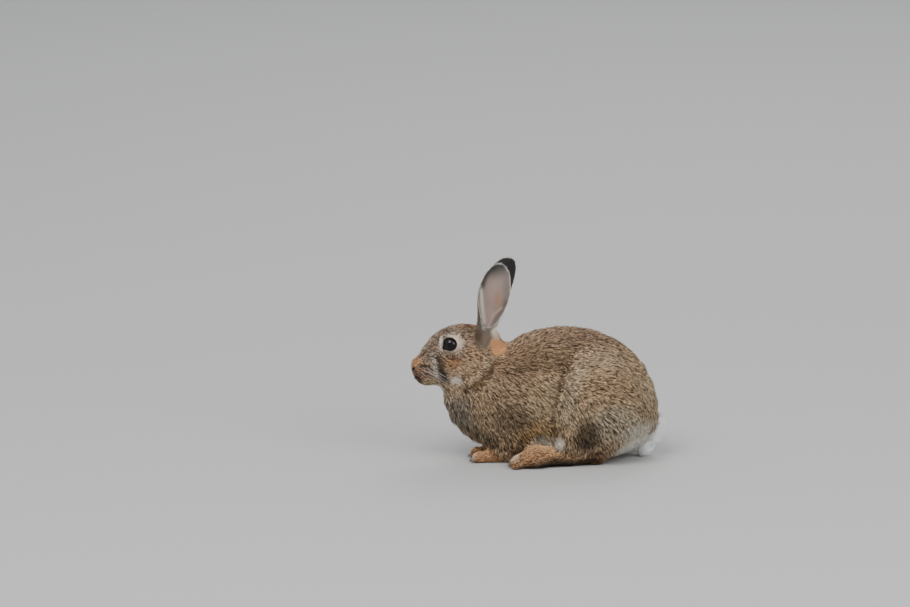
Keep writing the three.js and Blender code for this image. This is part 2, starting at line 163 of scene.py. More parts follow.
room = bpy.data.worlds.new("room")
room.use_nodes = True
background = room.node_tree.nodes["Background"]
background.inputs["Color"].default_value = (*linear(ROOM_COLOUR), 1)
background.inputs["Strength"].default_value = ROOM_BRIGHT
bpy.context.scene.world = room

for name, place, wide, power in (
    ("key softbox", (-1.1, -1.5, 2.7), 1.8, 70),
    ("fill softbox", (1.7, -1.8, 1.5), 1.8, 36),
    ("back softbox", (0.6, 2.1, 2.2), 1.6, 26),
):
    bpy.ops.object.light_add(type="AREA", location=place)
    lamp = bpy.context.object
    lamp.name = name
    lamp.data.size = wide
    lamp.data.energy = power
    lamp.rotation_euler = (LAMPS_AIM - Vector(place)).to_track_quat("-Z", "Y").to_euler()

# ---------------------------------------------------------------- skin
# The hide of the whole animal, ears and feet included, in one sheet with no seam. Every fleshy
# part is joined and smoothed, then drawn in by the depth of the coat that grows over it there.
SKIN_CELL = 1.4 * MM
SWELL = 0.5 * MM
PARTS = ("head", "neck", "trunk", "haunch", "hind_foot", "foreleg", "tail", "ear")
# Rounds of smoothing, by part. What smoothing takes off the form is put back, up to a limit.
SOFTEN = {
    "head": 17, "neck": 44, "trunk": 44, "haunch": 44, "hind_foot": 11, "foreleg": 11, "tail": 20, "ear": 2,
}
SOFTEN_STEP = 4
PUT_BACK = 2 * MM
# Hair length in millimetres, by part and then in patches: name, length, place, reach, strength.
HAIR = {
    "head": 4.6, "neck": 8.0, "trunk": 8.5, "haunch": 8.0,
    "hind_foot": 4.2, "foreleg": 4.2, "tail": 7.0, "ear": 1.7,
}
HAIR_PATCHES = (
    ("brow", 3.6, (-104, 6, 120), (28, 20, 24), 0.9),
    ("muzzle", 2.7, (-119, 7, 93), (18, 16, 18), 1.0),
    ("nose", 1.7, (-128, 2, 95), (8, 8, 11), 1.0),
    ("eyelids", 1.7, (-89, 20, 121), (14, 12, 13), 1.0),
    ("chest", 12.5, (-68, 0, 48), (34, 40, 34), 0.9),
    ("belly", 11.0, (10, 0, 4), (80, 44, 16), 0.8),
    ("seat", 12.0, (100, 0, 20), (32, 40, 22), 0.7),
    ("hind toes", 4.8, (-34, 46, 5), (14, 14, 12), 0.9),
    ("fore toes", 4.2, (-70, 16, 5), (12, 14, 12), 0.9),
)
# How deep the skin lies under the coat's tips, as a share of the hair's length, and in how many steps
# it is drawn in.
COAT_RISE = 0.36
DRAW_STEPS = 6
# Each fold of the hide: its line on the left side, then its width and depth, in millimetres.
FOLDS = (
    (((34, 24, 115), (22, 38, 94), (16, 44, 73), (12, 46, 50), (15, 48, 30)), 5.0, 3.2),
    (((-84, 20, 82), (-70, 27, 90), (-60, 28, 99), (-51, 25, 109), (-47, 20, 116)), 3.2, 2.0),
)
# Places within a face that are sampled to tell which part it is, as shares of its three corners.
WITHIN = ((0.34, 0.33, 0.33), (0.6, 0.2, 0.2), (0.2, 0.6, 0.2), (0.2, 0.2, 0.6))


def part_of(node_name):
    """The part that a node belongs to, left and right alike."""
    return next((i for i, part in enumerate(PARTS) if node_name.startswith(part)), None)


def points_of(mesh):
    """The places of a mesh's vertices, one row each."""
    flat = np.empty(len(mesh.vertices) * 3)
    mesh.vertices.foreach_get("co", flat)
    return flat.reshape(-1, 3)


def corners_of(mesh):
    """The three vertices of every triangle that the mesh divides into."""
    mesh.calc_loop_triangles()
    flat = np.empty(len(mesh.loop_triangles) * 3, np.int32)
    mesh.loop_triangles.foreach_get("vertices", flat)
    return flat.reshape(-1, 3)


def edges_of(mesh):
    """The two vertices of every edge."""
    flat = np.empty(len(mesh.edges) * 2, np.int32)
    mesh.edges.foreach_get("vertices", flat)
    return flat.reshape(-1, 2)


def unit(v):
    """Vectors brought to length 1."""
    return v / np.maximum(np.linalg.norm(v, axis=-1, keepdims=True), 1e-12)


def normals_of(points, corners):
    """Smooth normals of a triangle mesh, weighted by area."""
    a, b, c = (points[corners[:, i]] for i in range(3))
    face = np.cross(b - a, c - a)
    total = np.zeros_like(points)
    for i in range(3):
        for axis in range(3):
            total[:, axis] += np.bincount(corners[:, i], face[:, axis], len(points))
    return unit(total)


def spread(values, edges, times, share=0.5):
    """Values at the vertices, averaged with their neighbours' a number of times."""
    values = np.array(values, float)
    columns = values.reshape(len(values), -1)
    count = np.maximum(np.bincount(edges.ravel(), minlength=len(values)), 1)
    for _ in range(times):
        for k in range(columns.shape[1]):
            column = columns[:, k]
            near = np.bincount(edges[:, 0], column[edges[:, 1]], len(column))
            near += np.bincount(edges[:, 1], column[edges[:, 0]], len(column))
            columns[:, k] += share * (near / count - column)
    return columns.reshape(values.shape)


def eased(value, low, high):
    """0 below low, 1 above high, and a soft step between; low may be the larger."""
    t = np.clip((value - low) / (high - low), 0, 1)
    return t * t * (3 - 2 * t)


def on_left(points):
    """The same places on the left side, in millimetres, with the side's distance made positive."""
    return np.stack([points[:, 0], np.abs(points[:, 1]), points[:, 2]], 1) / MM


def patched(values, points, patches, share=1.0):
    """Lays soft-edged patches over numbers or colours, one after another."""
    folded = on_left(points)
    for _, value, place, reach, strength in patches:
        away = np.sqrt((((folded - place) / reach) ** 2).sum(1))
        cover = share * strength * eased(away, 1.0, 0.35)
        if values.ndim > 1:
            values = values + cover[:, None] * (np.array(linear(value)) - values)
        else:
            values = values + cover * (value - values)
    return values


# Each fleshy node is copied, welded, and swollen until it meets its neighbours across the cuts. Its
# surface is sampled as well, to tell later which part a place on the joined skin belongs to.
swollen, samples, sample_part = [], [], []
for name, cad in frame["nodes"].items():
    if part_of(name) is None:
        continue
    copy = bpy.data.objects.new("flesh", cad.data.copy())
    bpy.context.collection.objects.link(copy)
    only(copy)
    bpy.ops.object.mode_set(mode="EDIT")
    bpy.ops.mesh.select_all(action="SELECT")
    bpy.ops.mesh.remove_doubles(threshold=0.001 * MM)
    bpy.ops.object.mode_set(mode="OBJECT")
    if name.startswith("ear"):
        rounder = copy.modifiers.new("rounder", "SUBSURF")
        rounder.levels = rounder.render_levels = 2
        bpy.ops.object.modifier_apply(modifier="rounder")
    swell = copy.modifiers.new("swell", "DISPLACE")
    swell.strength, swell.mid_level = SWELL, 0
    bpy.ops.object.modifier_apply(modifier="swell")
    at, corners = points_of(copy.data), corners_of(copy.data)
    inner = [np.einsum("nkc,k->nc", at[corners], mix) for mix in WITHIN]
    samples += [at, *inner]
    sample_part.append(np.full(len(at) + len(WITHIN) * len(corners), part_of(name)))
    swollen.append(copy)
samples, sample_part = np.concatenate(samples), np.concatenate(sample_part)
near_sample = KDTree(len(samples))
for i, spot in enumerate(samples):
    near_sample.insert(spot, i)
near_sample.balance()

only(*swollen)
bpy.ops.object.join()
skin = bpy.context.object
skin.name = "skin"
remesh = skin.modifiers.new("one sheet", "REMESH")
remesh.mode = "VOXEL"
remesh.voxel_size = SKIN_CELL
bpy.ops.object.modifier_apply(modifier="one sheet")
# The outer sheet is all that hangs together with the tip of the nose; scraps inside it are deleted.
bpy.ops.object.mode_set(mode="EDIT")
bpy.ops.mesh.select_all(action="DESELECT")
bpy.ops.object.mode_set(mode="OBJECT")
skin.data.vertices[int(np.argmin(points_of(skin.data)[:, 0]))].select = True
bpy.ops.object.mode_set(mode="EDIT")
bpy.ops.mesh.select_linked()
bpy.ops.mesh.select_all(action="INVERT")
bpy.ops.mesh.delete(type="VERT")
bpy.ops.object.mode_set(mode="OBJECT")


def from_line(points, line):
    """How far each point lies from a line of short straight stretches, in millimetres."""
    best = np.full(len(points), np.inf)
    for start, end in zip(np.array(line[:-1], float), np.array(line[1:], float)):
        along = end - start
        t = np.clip(((points - start) @ along) / (along @ along), 0, 1)
        best = np.minimum(best, np.linalg.norm(points - start - t[:, None] * along, axis=1))
    return best


def furrow(points, normals, line, wide, deep):
    """Draws points in along a line on both sides, and says how much each one belongs to it."""
    near = np.exp(-(from_line(on_left(points), line) / wide) ** 2)
    return points - (near * deep * MM)[:, None] * normals, near


def parts_at(points, edges):
    """How much each vertex belongs to each part, soft where two parts meet."""
    nearest = np.array([sample_part[near_sample.find(p)[1]] for p in points])
    return {name: spread((nearest == i).astype(float), edges, 8) for i, name in enumerate(PARTS)}


def by_part(amounts):
    """One amount for each vertex of the skin, mixed where two parts meet."""
    return sum(part[name] * amount for name, amount in amounts.items())


# From here on, these stay one row for each vertex of the skin: its place, the parts it belongs to,
# its normal and so on. They are worked out again whenever the mesh is cut finer.
at, edges, corners = points_of(skin.data), edges_of(skin.data), corners_of(skin.data)
part = parts_at(at, edges)
soft = by_part(SOFTEN)
smooth = at.copy()
for done in range(0, max(SOFTEN.values()), SOFTEN_STEP):
    share = np.clip((soft - done) / SOFTEN_STEP, 0, 1)[:, None]
    smooth += share * (spread(smooth, edges, SOFTEN_STEP) - smooth)
normal = normals_of(smooth, corners)
lost = spread(((at - smooth) * normal).sum(1), edges, 30)
at = smooth + np.clip(lost, -PUT_BACK, PUT_BACK)[:, None] * normal

# The skin is drawn in by the depth of the coat a little at a time, so that it doesn't fold over.
hair = patched(by_part(HAIR), at, HAIR_PATCHES, 1 - part["ear"])
depth = spread(hair * COAT_RISE, edges, 8) * MM
for _ in range(DRAW_STEPS):
    at = at - (depth / DRAW_STEPS)[:, None] * normals_of(at, corners)
    at = spread(at, edges, 1)
normal = spread(normals_of(at, corners), edges, 10)
for line, wide, deep in FOLDS:
    at, _ = furrow(at, normal, line, wide, deep)
skin.data.vertices.foreach_set("co", at.ravel())
skin.data.update()

# ---------------------------------------------------------------- face
# Bare and thinly haired features worked into the hide: comma nostrils at the sides of the nose,
# the cleft upper lip under them, the line of the closed mouth, and the lids, which hug each
# eyeball and have a pointed corner at the front below. The hide is finer here.
EYE_LOW, EYE_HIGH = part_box("eye_left")
EYE = (EYE_LOW + EYE_HIGH) / 2
EYE_RADIUS = (EYE_HIGH.x - EYE_LOW.x) / 2
# The hide is cut finer ahead of this place, and within this many millimetres of an eye's centre.
FINE_MUZZLE = -106 * MM
FINE_EYE = 15
FINE_CUTS = 2
# Each groove: its line on the left side in millimetres, then its width and depth. Only the last one,
# the nostril, is bare inside, where it is deepest.
NOSTRIL = ((-127.4, 3.0, 91.8), (-126.4, 4.2, 92.6), (-124.8, 5.6, 94.6))
CLEFT = ((-129, 0, 92.5), (-127.5, 0, 89.5), (-124.5, 0, 86.2))
MOUTH = ((-124.5, 0, 86.0), (-120, 5.5, 84.2), (-114, 9, 82.8), (-108, 11, 82.6))
GROOVES = ((MOUTH, 0.7, 1.0), (CLEFT, 0.6, 0.9), (NOSTRIL, 1.8, 2.6))
BARE_FROM, BARE_TO = 0.12, 0.5
# The opening between the lids, in millimetres from its own centre; turn 0 is forwards and a
# quarter is up. The hide from the socket's edge out to the lid's root is drawn over the eyeball,
# and the hide inside that edge is tucked in behind the lid margin.
LID_CENTRE = np.array([EYE.x / MM - 1.1, EYE.z / MM + 1.4])
OPENING_LONG, OPENING_HIGH = 6.4, 6.0
TEAR_CORNER = math.radians(-38)
TEAR_REACH, TEAR_NARROW = 2.4, 0.26
SOCKET_EDGE, LID_ROOT = 8.2, 12.0
# How far out from the eye's centre the socket's edge stands, and how much more to the front and top.
SOCKET_RISE = (3.6, -1.1, -1.2)
LID_THICK, LID_DEEP, LID_TUCK = 0.55, 1.8, 0.4
# Only hide that lies farther out than this from the eye's centre is part of its lids.
LID_INNERMOST = -1
# The lids blend into the face over these distances past the root and past the margin.
ROOT_BLEND, MARGIN_BLEND = (LID_ROOT + 2, LID_ROOT - 1), (0.1, 0.6)


def from_eye(points):
    """Each point seen from the eye on its side: its place, its distance and its turn across the face."""
    seen = on_left(points) - np.array([EYE.x, abs(EYE.y), EYE.z]) / MM
    return seen, np.hypot(seen[:, 0], seen[:, 2]), np.arctan2(seen[:, 2], -seen[:, 0])


def opening(turn):
    """The distance from the centre of the opening to the lid margin, in millimetres."""
    oval = 1 / np.hypot(np.cos(turn) / OPENING_LONG, np.sin(turn) / OPENING_HIGH)
    return oval + TEAR_REACH * np.exp(-((turn - TEAR_CORNER) / TEAR_NARROW) ** 2)


def past_lids(points):
    """How far each point lies outside the lid margin, across the face in millimetres."""
    across = on_left(points)[:, ::2] - LID_CENTRE
    return np.hypot(*across.T) - opening(np.arctan2(across[:, 1], -across[:, 0]))


# Faces round the muzzle and the eyes are cut finer, before the features are drawn in them. The
# first choice, by one corner, leaves its edges selected, and they are cut too. The second choice
# is of the faces that lie inside with every corner.
only(skin)
where = points_of(skin.data)
fine = (where[:, 0] < FINE_MUZZLE) | (np.linalg.norm(from_eye(where)[0], axis=1) < FINE_EYE)
polygons = skin.data.polygons
for p in polygons:
    p.select = bool(fine[p.vertices[0]])
bpy.ops.object.mode_set(mode="EDIT")
bpy.ops.mesh.select_mode(type="FACE")
bpy.ops.object.mode_set(mode="OBJECT")
for p in polygons:
    p.select = bool(fine[list(p.vertices)].all())
bpy.ops.object.mode_set(mode="EDIT")
bpy.ops.mesh.subdivide(number_cuts=FINE_CUTS)
bpy.ops.object.mode_set(mode="OBJECT")

at, edges, corners = points_of(skin.data), edges_of(skin.data), corners_of(skin.data)
part = parts_at(at, edges)
at = at + part["head"][:, None] * (spread(at, edges, 3) - at)

# Lids: the hide in the socket is moved to where it lies between the margin and the lid's root, at
# least a lid's thickness over the ball, and the innermost of it is sunk behind the margin.
seen, away, turn = from_eye(at)
ahead = np.stack([-np.cos(turn), np.sin(turn)], 1)
socket_edge = SOCKET_RISE[0] + SOCKET_RISE[1] * np.cos(turn) + SOCKET_RISE[2] * np.sin(turn)
share = np.clip((away - SOCKET_EDGE) / (LID_ROOT - SOCKET_EDGE), 0, 1)[:, None]
sunk = np.clip((socket_edge - seen[:, 1]) / (socket_edge - LID_INNERMOST), 0, 1)
sunk = np.where(share[:, 0] > 0, 0, sunk)
centre = np.array([EYE.x, EYE.z]) / MM
margin = LID_CENTRE + (opening(turn) - LID_TUCK * sunk)[:, None] * ahead
root = centre + LID_ROOT * ahead
drawn = margin + share * (root - margin)
cover = EYE_RADIUS / MM + LID_THICK
on_ball = np.sqrt(np.maximum(cover ** 2 - ((drawn - centre) ** 2).sum(1), 0))
rise = np.maximum(seen[:, 1], on_ball) - LID_DEEP * sunk
lid = (away < LID_ROOT) & (seen[:, 1] > LID_INNERMOST)
side = np.where(at[:, 1] < 0, -1, 1)
drawn = np.stack([drawn[:, 0], side * (abs(EYE.y) / MM + rise), drawn[:, 1]], 1) * MM
at = np.where(lid[:, None], drawn, at)
near_lid = eased(away, *ROOT_BLEND) * eased(past_lids(at), *MARGIN_BLEND) * (seen[:, 1] > LID_INNERMOST)
at = at + near_lid[:, None] * (spread(at, edges, 3) - at)

normal = normals_of(at, corners)
for line, wide, deep in GROOVES:
    at, crease = furrow(at, normal, line, wide, deep)
skin.data.vertices.foreach_set("co", at.ravel())
skin.data.update()
bare = eased(crease, BARE_FROM, BARE_TO)

only(skin)
bpy.ops.object.shade_smooth()
for name in frame["nodes"]:
    if part_of(name) is not None:
        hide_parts(name)
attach(skin, "root")

# ---------------------------------------------------------------- eyes
# Large dark brown eyes set at the sides of the head, wet and glossy. Each is a ball with a
# raised cornea; the wide black pupil and the brown iris lie behind its clear surface.
IRIS_RADIUS = 6.7 * MM
# The rings from the middle out: the share of the iris's radius where each colour stands.
IRIS_RINGS = ((0.582, "#030303"), (0.662, "#140c0a"), (0.86, "#1c100c"), (0.98, "#070506"))
# The fine spokes of the iris: how wide they are, and how far they push its rings out.
SPOKE_WIDE = 1.11 * MM
SPOKE_WAVE = 0.5 * MM
# The cornea bulges out over the cap of the ball that turns less than this cosine from outwards.
CORNEA_RISE = 0.35 * MM
CORNEA_EDGE = 0.72

# A living tissue under a film of tears: as smooth as glass, with the cornea's own refraction.
wet_eye, tree, shader = material("wet cornea over a brown iris")
place = node(tree, "ShaderNodeTexCoord").outputs["Object"]
centred = node(tree, "ShaderNodeMapping", Vector=place)
centred.inputs["Location"].default_value = (-EYE.x, 0, -EYE.z)
flat = node(tree, "ShaderNodeVectorMath", {"operation": "MULTIPLY"}, n0=centred.outputs[0])
flat.inputs[1].default_value = (1, 0, 1)
radius = node(tree, "ShaderNodeVectorMath", {"operation": "LENGTH"}, n0=flat.outputs[0])
spokes = node(tree, "ShaderNodeTexNoise", Vector=flat.outputs[0], Scale=1 / SPOKE_WIDE, Detail=3)
wavy = node(
    tree, "ShaderNodeMath", {"operation": "MULTIPLY_ADD"},
    n0=spokes.outputs["Fac"], n1=SPOKE_WAVE, n2=radius.outputs["Value"],
)
out_share = node(tree, "ShaderNodeMath", {"operation": "DIVIDE"}, n0=wavy.outputs[0], n1=IRIS_RADIUS)
rings = node(tree, "ShaderNodeValToRGB", Fac=out_share.outputs[0])
stops = rings.color_ramp.elements
for position, hue in IRIS_RINGS:
    stops.new(position).color = (*linear(hue), 1)
stops.remove(stops[-1])
stops.remove(stops[0])
tree.links.new(rings.outputs["Color"], shader.inputs["Base Color"])
shader.inputs["Roughness"].default_value = 0.04
shader.inputs["IOR"].default_value = 1.376

for name, side in (("eye_left", -1), ("eye_right", 1)):
    centre = Vector((EYE.x, side * abs(EYE.y), EYE.z))
    bpy.ops.mesh.primitive_uv_sphere_add(
        segments=64, ring_count=40, radius=EYE_RADIUS, location=centre, rotation=(math.radians(90), 0, 0),
    )
    ball = bpy.context.object
    ball.name = "eyeball_left" if side < 0 else "eyeball_right"
    bpy.ops.object.transform_apply(location=True, rotation=True, scale=True)
    for v in ball.data.vertices:
        out = (v.co - centre).normalized()
        v.co += out * CORNEA_RISE * max(0, (side * out.y - CORNEA_EDGE) / (1 - CORNEA_EDGE))
    bpy.ops.object.shade_smooth()
    ball.data.materials.append(wet_eye)
    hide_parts(name)
    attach(ball, "root")

# ---------------------------------------------------------------- lie of the coat
# Which way the hair grows. It starts at the nose, runs back over the head and body, down the
# chest and legs, out along the toes, up the ears and out along the tail. Each line gives a
# place in millimetres on the left side and the way the hair lies there.
HEAD_LIE = (
    ((-127, 0, 100), (0.7, 0.1, 0.6)), ((-112, 6, 114), (0.8, 0.1, 0.6)), ((-92, 8, 133), (1, 0.1, 0.3)),
    ((-68, 8, 139), (1, 0.1, 0)), ((-122, 7, 88), (0.7, 0.5, -0.3)), ((-114, 4, 80), (0.9, 0.1, -0.3)),
    ((-104, 13, 98), (0.9, 0.3, -0.25)), ((-92, 22, 104), (0.9, 0.2, -0.3)),
    ((-75, 27, 100), (0.9, 0.1, -0.35)), ((-85, 18, 84), (0.85, 0.1, -0.45)),
    ((-72, 24, 118), (1, 0.1, -0.05)), ((-88, 18, 132), (1, 0.2, 0.15)),
    ((-60, 12, 130), (0.9, 0.2, 0.1)), ((-75, 0, 72), (0.75, 0, -0.65)),
)
BODY_LIE = (
    ((-45, 0, 120), (1, 0, -0.2)), ((-55, 27, 95), (0.85, 0.15, -0.5)), ((-80, 0, 68), (0.5, 0, -0.85)),
    ((-72, 8, 48), (0.3, 0, -1)), ((-56, 30, 55), (0.45, 0.1, -0.9)), ((-35, 38, 78), (0.8, 0.1, -0.6)),
    ((-25, 10, 118), (1, 0, 0.15)), ((25, 5, 133), (1, 0, -0.05)), ((80, 5, 118), (0.75, 0, -0.65)),
    ((20, 42, 100), (0.95, 0, -0.3)), ((0, 45, 60), (0.75, 0, -0.6)), ((-5, 38, 25), (0.5, -0.2, -0.85)),
    ((0, 10, 10), (1, 0, 0)), ((50, 50, 92), (1, 0, -0.2)), ((72, 56, 66), (0.9, 0, -0.45)),
    ((30, 52, 55), (0.6, 0.2, -0.75)), ((66, 56, 34), (0.4, 0.1, -0.9)), ((118, 15, 75), (0.2, 0, -1)),
    ((108, 22, 32), (0.15, 0, -1)), ((90, 25, 14), (0.1, 0, -1)), ((18, 50, 28), (-0.1, 0.1, -1)),
    ((-50, 20, 34), (0.1, 0, -1)),
)
LEG_LIE = (
    ((-50, 20, 30), (0.1, 0, -1)), ((-51, 17, 16), (-0.5, 0, -1)), ((-62, 17, 8), (-1, 0, -0.2)),
    ((58, 36, 20), (-0.4, 0.2, -1)), ((45, 38, 12), (-1, 0, -0.1)), ((10, 44, 14), (-1, 0, -0.1)),
    ((-25, 46, 8), (-1, 0, -0.35)),
)
EAR_LIE = (((-45, 10, 160), (0.25, 0.04, 1)),)
TAIL_LIE = (((105, 0, 10), (0.6, 0, 0.7)), ((122, 0, 36), (0.5, 0, 0.85)))
# How softly the guides mix, in square millimetres. Round the eye the hair lies away from it: the
# distances over which that begins, and how strongly.
LIE_MIX = 60
EYE_RING_REACH, EYE_RING_PULL = (13.0, 8), 1.4
# The ring of hair round the eye ends this far inwards of the eye's centre, in millimetres.
EYE_RING_INNERMOST = -6
# The least and the most that the skin may bend under a tuft, in radians for each metre along it.
BEND_LEAST, BEND_MOST = -25, 60


def combed(points, normals):
    """The way the hair lies at each point, along the skin."""
    folded = on_left(points)
    lie = np.zeros_like(points)
    for guides, share in (
        (HEAD_LIE, part["head"] + 0.5 * part["neck"]),
        (BODY_LIE, 0.5 * part["neck"] + part["trunk"] + part["haunch"]),
        (LEG_LIE, part["foreleg"] + part["hind_foot"]),
        (EAR_LIE, part["ear"]),
        (TAIL_LIE, part["tail"]),
    ):
        mixed = np.zeros_like(points)
        for place, way in guides:
            near = 1 / (((folded - place) ** 2).sum(1) + LIE_MIX) ** 2
            mixed += near[:, None] * unit(np.array(way, float))
        lie += share[:, None] * unit(mixed)
    seen, away, _ = from_eye(points)
    round_eye = part["head"] * eased(away, *EYE_RING_REACH) * (seen[:, 1] > EYE_RING_INNERMOST)
    lie += EYE_RING_PULL * round_eye[:, None] * (unit(seen * [1, 0, 1]) - lie)
    lie[:, 1] *= np.where(points[:, 1] < 0, -1, 1)
    lie -= (lie * normals).sum(1, keepdims=True) * normals
    return unit(lie)


normal = normals_of(at, corners)
lie = combed(at, normal)
for _ in range(2):
    lie = spread(lie, edges, 5)
    lie = unit(lie - (lie * normal).sum(1, keepdims=True) * normal)


def bending(points, ways, normals):
    """How sharply the skin curves away under the hair, in radians for each metre along it."""
    a, b = edges[:, 0], edges[:, 1]
    top, below = np.zeros(len(points)), np.full(len(points), 1e-12)
    for i, j in ((a, b), (b, a)):
        along = ((points[j] - points[i]) * ways[i]).sum(1)
        turn = ((normals[j] - normals[i]) * ways[i]).sum(1)
        top += np.bincount(i, along * turn, len(points))
        below += np.bincount(i, along * along, len(points))
    return spread(top / below, edges, 10)


bend = np.clip(bending(at, lie, normal), BEND_LEAST, BEND_MOST)

# ---------------------------------------------------------------- markings
# The wild coat is agouti: each hair has a slate root, a buff band and a dark or pale tip. The
# back is rust brown, the sides greyer, the nape orange, the belly, chin and tail white. Skin
# and coat both take their colour from here.
AGOUTI = "#94806a"
LEG_BUFF = "#9f7a5b"
TAIL_WHITE = "#fcfeff"
EAR_BACK = "#62584d"
EAR_HOLLOW = "#a08f86"
EAR_RIM = "#f6f2ea"
# The inside of each nostril is painted near black, as painted shade standing in for its dark opening.
NOSTRIL_SHADE = "#0e0a09"
LID_SKIN = "#140f0d"
# Each patch: name, colour, its middle on the left side and its reach in millimetres, and strength.
BODY_PATCHES = (
    ("saddle", "#725e4e", (25, 0, 128), (110, 45, 32), 0.9),
    ("withers", "#725c4a", (-28, 25, 105), (40, 30, 30), 0.85),
    ("shoulder", "#806d5a", (-38, 45, 75), (40, 30, 30), 0.8),
    ("upper flank", "#6f5b48", (-2, 32, 108), (54, 22, 18), 0.75),
    ("flank", "#a9967d", (5, 50, 62), (40, 25, 35), 0.9),
    ("low flank", "#937b5a", (-2, 45, 38), (34, 25, 20), 0.9),
    ("chest", "#746b63", (-78, 12, 55), (30, 30, 30), 0.9),
    ("low chest", "#685e52", (-60, 20, 32), (30, 30, 20), 0.6),
    ("low shoulder", "#655747", (-30, 45, 52), (28, 26, 20), 0.75),
    ("haunch crown", "#b5a08a", (60, 36, 111), (38, 26, 18), 0.8),
    ("haunch", "#8b755f", (66, 56, 82), (45, 30, 28), 0.8),
    ("lower haunch", "#9b9080", (72, 55, 48), (45, 30, 26), 0.85),
    ("rump", "#ab9a84", (118, 30, 78), (30, 50, 42), 0.8),
    ("low rump", "#bdb7ab", (98, 35, 37), (36, 40, 19), 0.85),
    ("haunch shade", "#3f3427", (43, 55, 38), (19, 24, 25), 0.85),
    ("belly", "#dcd8cf", (10, 0, 4), (80, 46, 24), 1.0),
    ("belly edge", "#bdb8ab", (3, 42, 28), (20, 20, 12), 0.95),
    ("knee flap", "#ddd6c7", (18, 50, 30), (8, 14, 12), 0.85),
    ("seat", "#f4f1ea", (92, 22, 18), (34, 44, 20), 1.0),
)
HEAD_PATCHES = (
    ("face", "#8a7767", (-90, 20, 115), (60, 40, 50), 1.0),
    ("crown", "#73523c", (-72, 0, 141), (26, 20, 9), 0.9),
    ("forehead", "#67574d", (-96, 8, 127), (24, 18, 14), 0.9),
    ("muzzle top", "#75675c", (-112, 6, 112), (22, 14, 16), 0.8),
    ("nose sides", "#b48c6a", (-124, 6, 99), (10, 8, 9), 0.95),
    ("whisker pad", "#6d4e38", (-117, 10, 91), (14, 9, 10), 0.95),
    ("chin", "#8f8468", (-112, 8, 79), (11, 14, 6), 0.9),
    ("under the chin", "#c9c3b8", (-100, 0, 74), (22, 14, 9), 0.9),
    ("cheek front", "#4e453b", (-101, 20, 92), (8, 14, 16), 0.8),
    ("under eye", "#86654a", (-90, 24, 104), (17, 12, 10), 0.9),
    ("cheek", "#a68e75", (-74, 28, 97), (20, 14, 14), 0.85),
    ("cheek below", "#d3ccbf", (-86.4, 22, 86), (8, 12, 4.8), 0.95),
    ("temple", "#93795f", (-67, 26, 115), (17, 14, 14), 0.85),
    ("throat", "#8f877c", (-78, 0, 70), (24, 18, 9), 0.9),
    ("before the ear", "#4d3d2f", (-61, 24, 128), (10, 16, 13), 0.9),
    ("eye ring", "#fbe9d2", (-87.6, 20, 122.4), (12.2, 12, 10.5), 1.0),
)
NECK_PATCHES = (
    ("throat", "#857d72", (-80, 0, 66), (20, 20, 10), 0.8),
)
NAPE_PATCHES = (
    ("nape", "#fcc088", (-43.8, 12, 116.5), (10.5, 26, 11), 1.0),
    ("behind the ears", "#fdeedb", (-44, 14, 131), (8.5, 22, 10), 1.0),
)
LEG_PATCHES = (
    ("hock", "#33231a", (54, 42, 16), (25, 22, 24), 1.0),
    ("foot top", "#c79f76", (10, 44, 18), (38, 18, 7.5), 0.95),
    ("hind toes", "#dccbb1", (-28, 46, 13), (12, 16, 8), 0.9),
    # Painted shade: the lower side of each hind foot darkens, almost to black where it meets the floor.
    ("shade low on the hind foot", "#40382a", (14, 46, 1), (60, 24, 17), 0.9),
    ("shade under the hind foot", "#1d1811", (16, 46, 0), (62, 24, 9), 1.0),
    ("wrist", "#b08562", (-52, 17, 16), (18, 16, 14), 0.8),
    ("wrist side", "#cfa27c", (-58, 17, 11), (16, 16, 10), 0.7),
    ("fore toes", "#fdfaf5", (-76, 17, 9), (17, 22, 15), 1.0),
)
# The ears' patches and stripes are those of the left ear; the first lists are for the hollow side.
EAR_PATCHES = (
    ("front", "#6c645d", (-63, 30, 186), (13, 30, 24), 0.9),
    ("rear", "#8f8075", (-32, 30, 172), (8, 30, 34), 0.8),
    ("middle", "#b99f94", (-47, 30, 172), (13, 30, 32), 0.9),
    ("tan", "#b78d6e", (-42, 30, 166), (6, 30, 17), 0.7),
    ("low", "#c9a8a0", (-50, 30, 149), (9, 30, 17), 0.9),
    ("foot", "#81776a", (-45, 30, 135), (7, 30, 7), 0.9),
    ("tip", "#45443f", (-46, 30, 208), (30, 40, 26), 1.0),
)
EAR_BACK_PATCHES = (
    ("tip", "#1c1a17", (-36, 30, 198), (40, 40, 44), 0.95),
    ("foot", "#77695a", (-52, 30, 122), (16, 30, 14), 0.9),
    ("foot front", "#4f3f31", (-63, 30, 128), (7, 30, 14), 0.9),
)
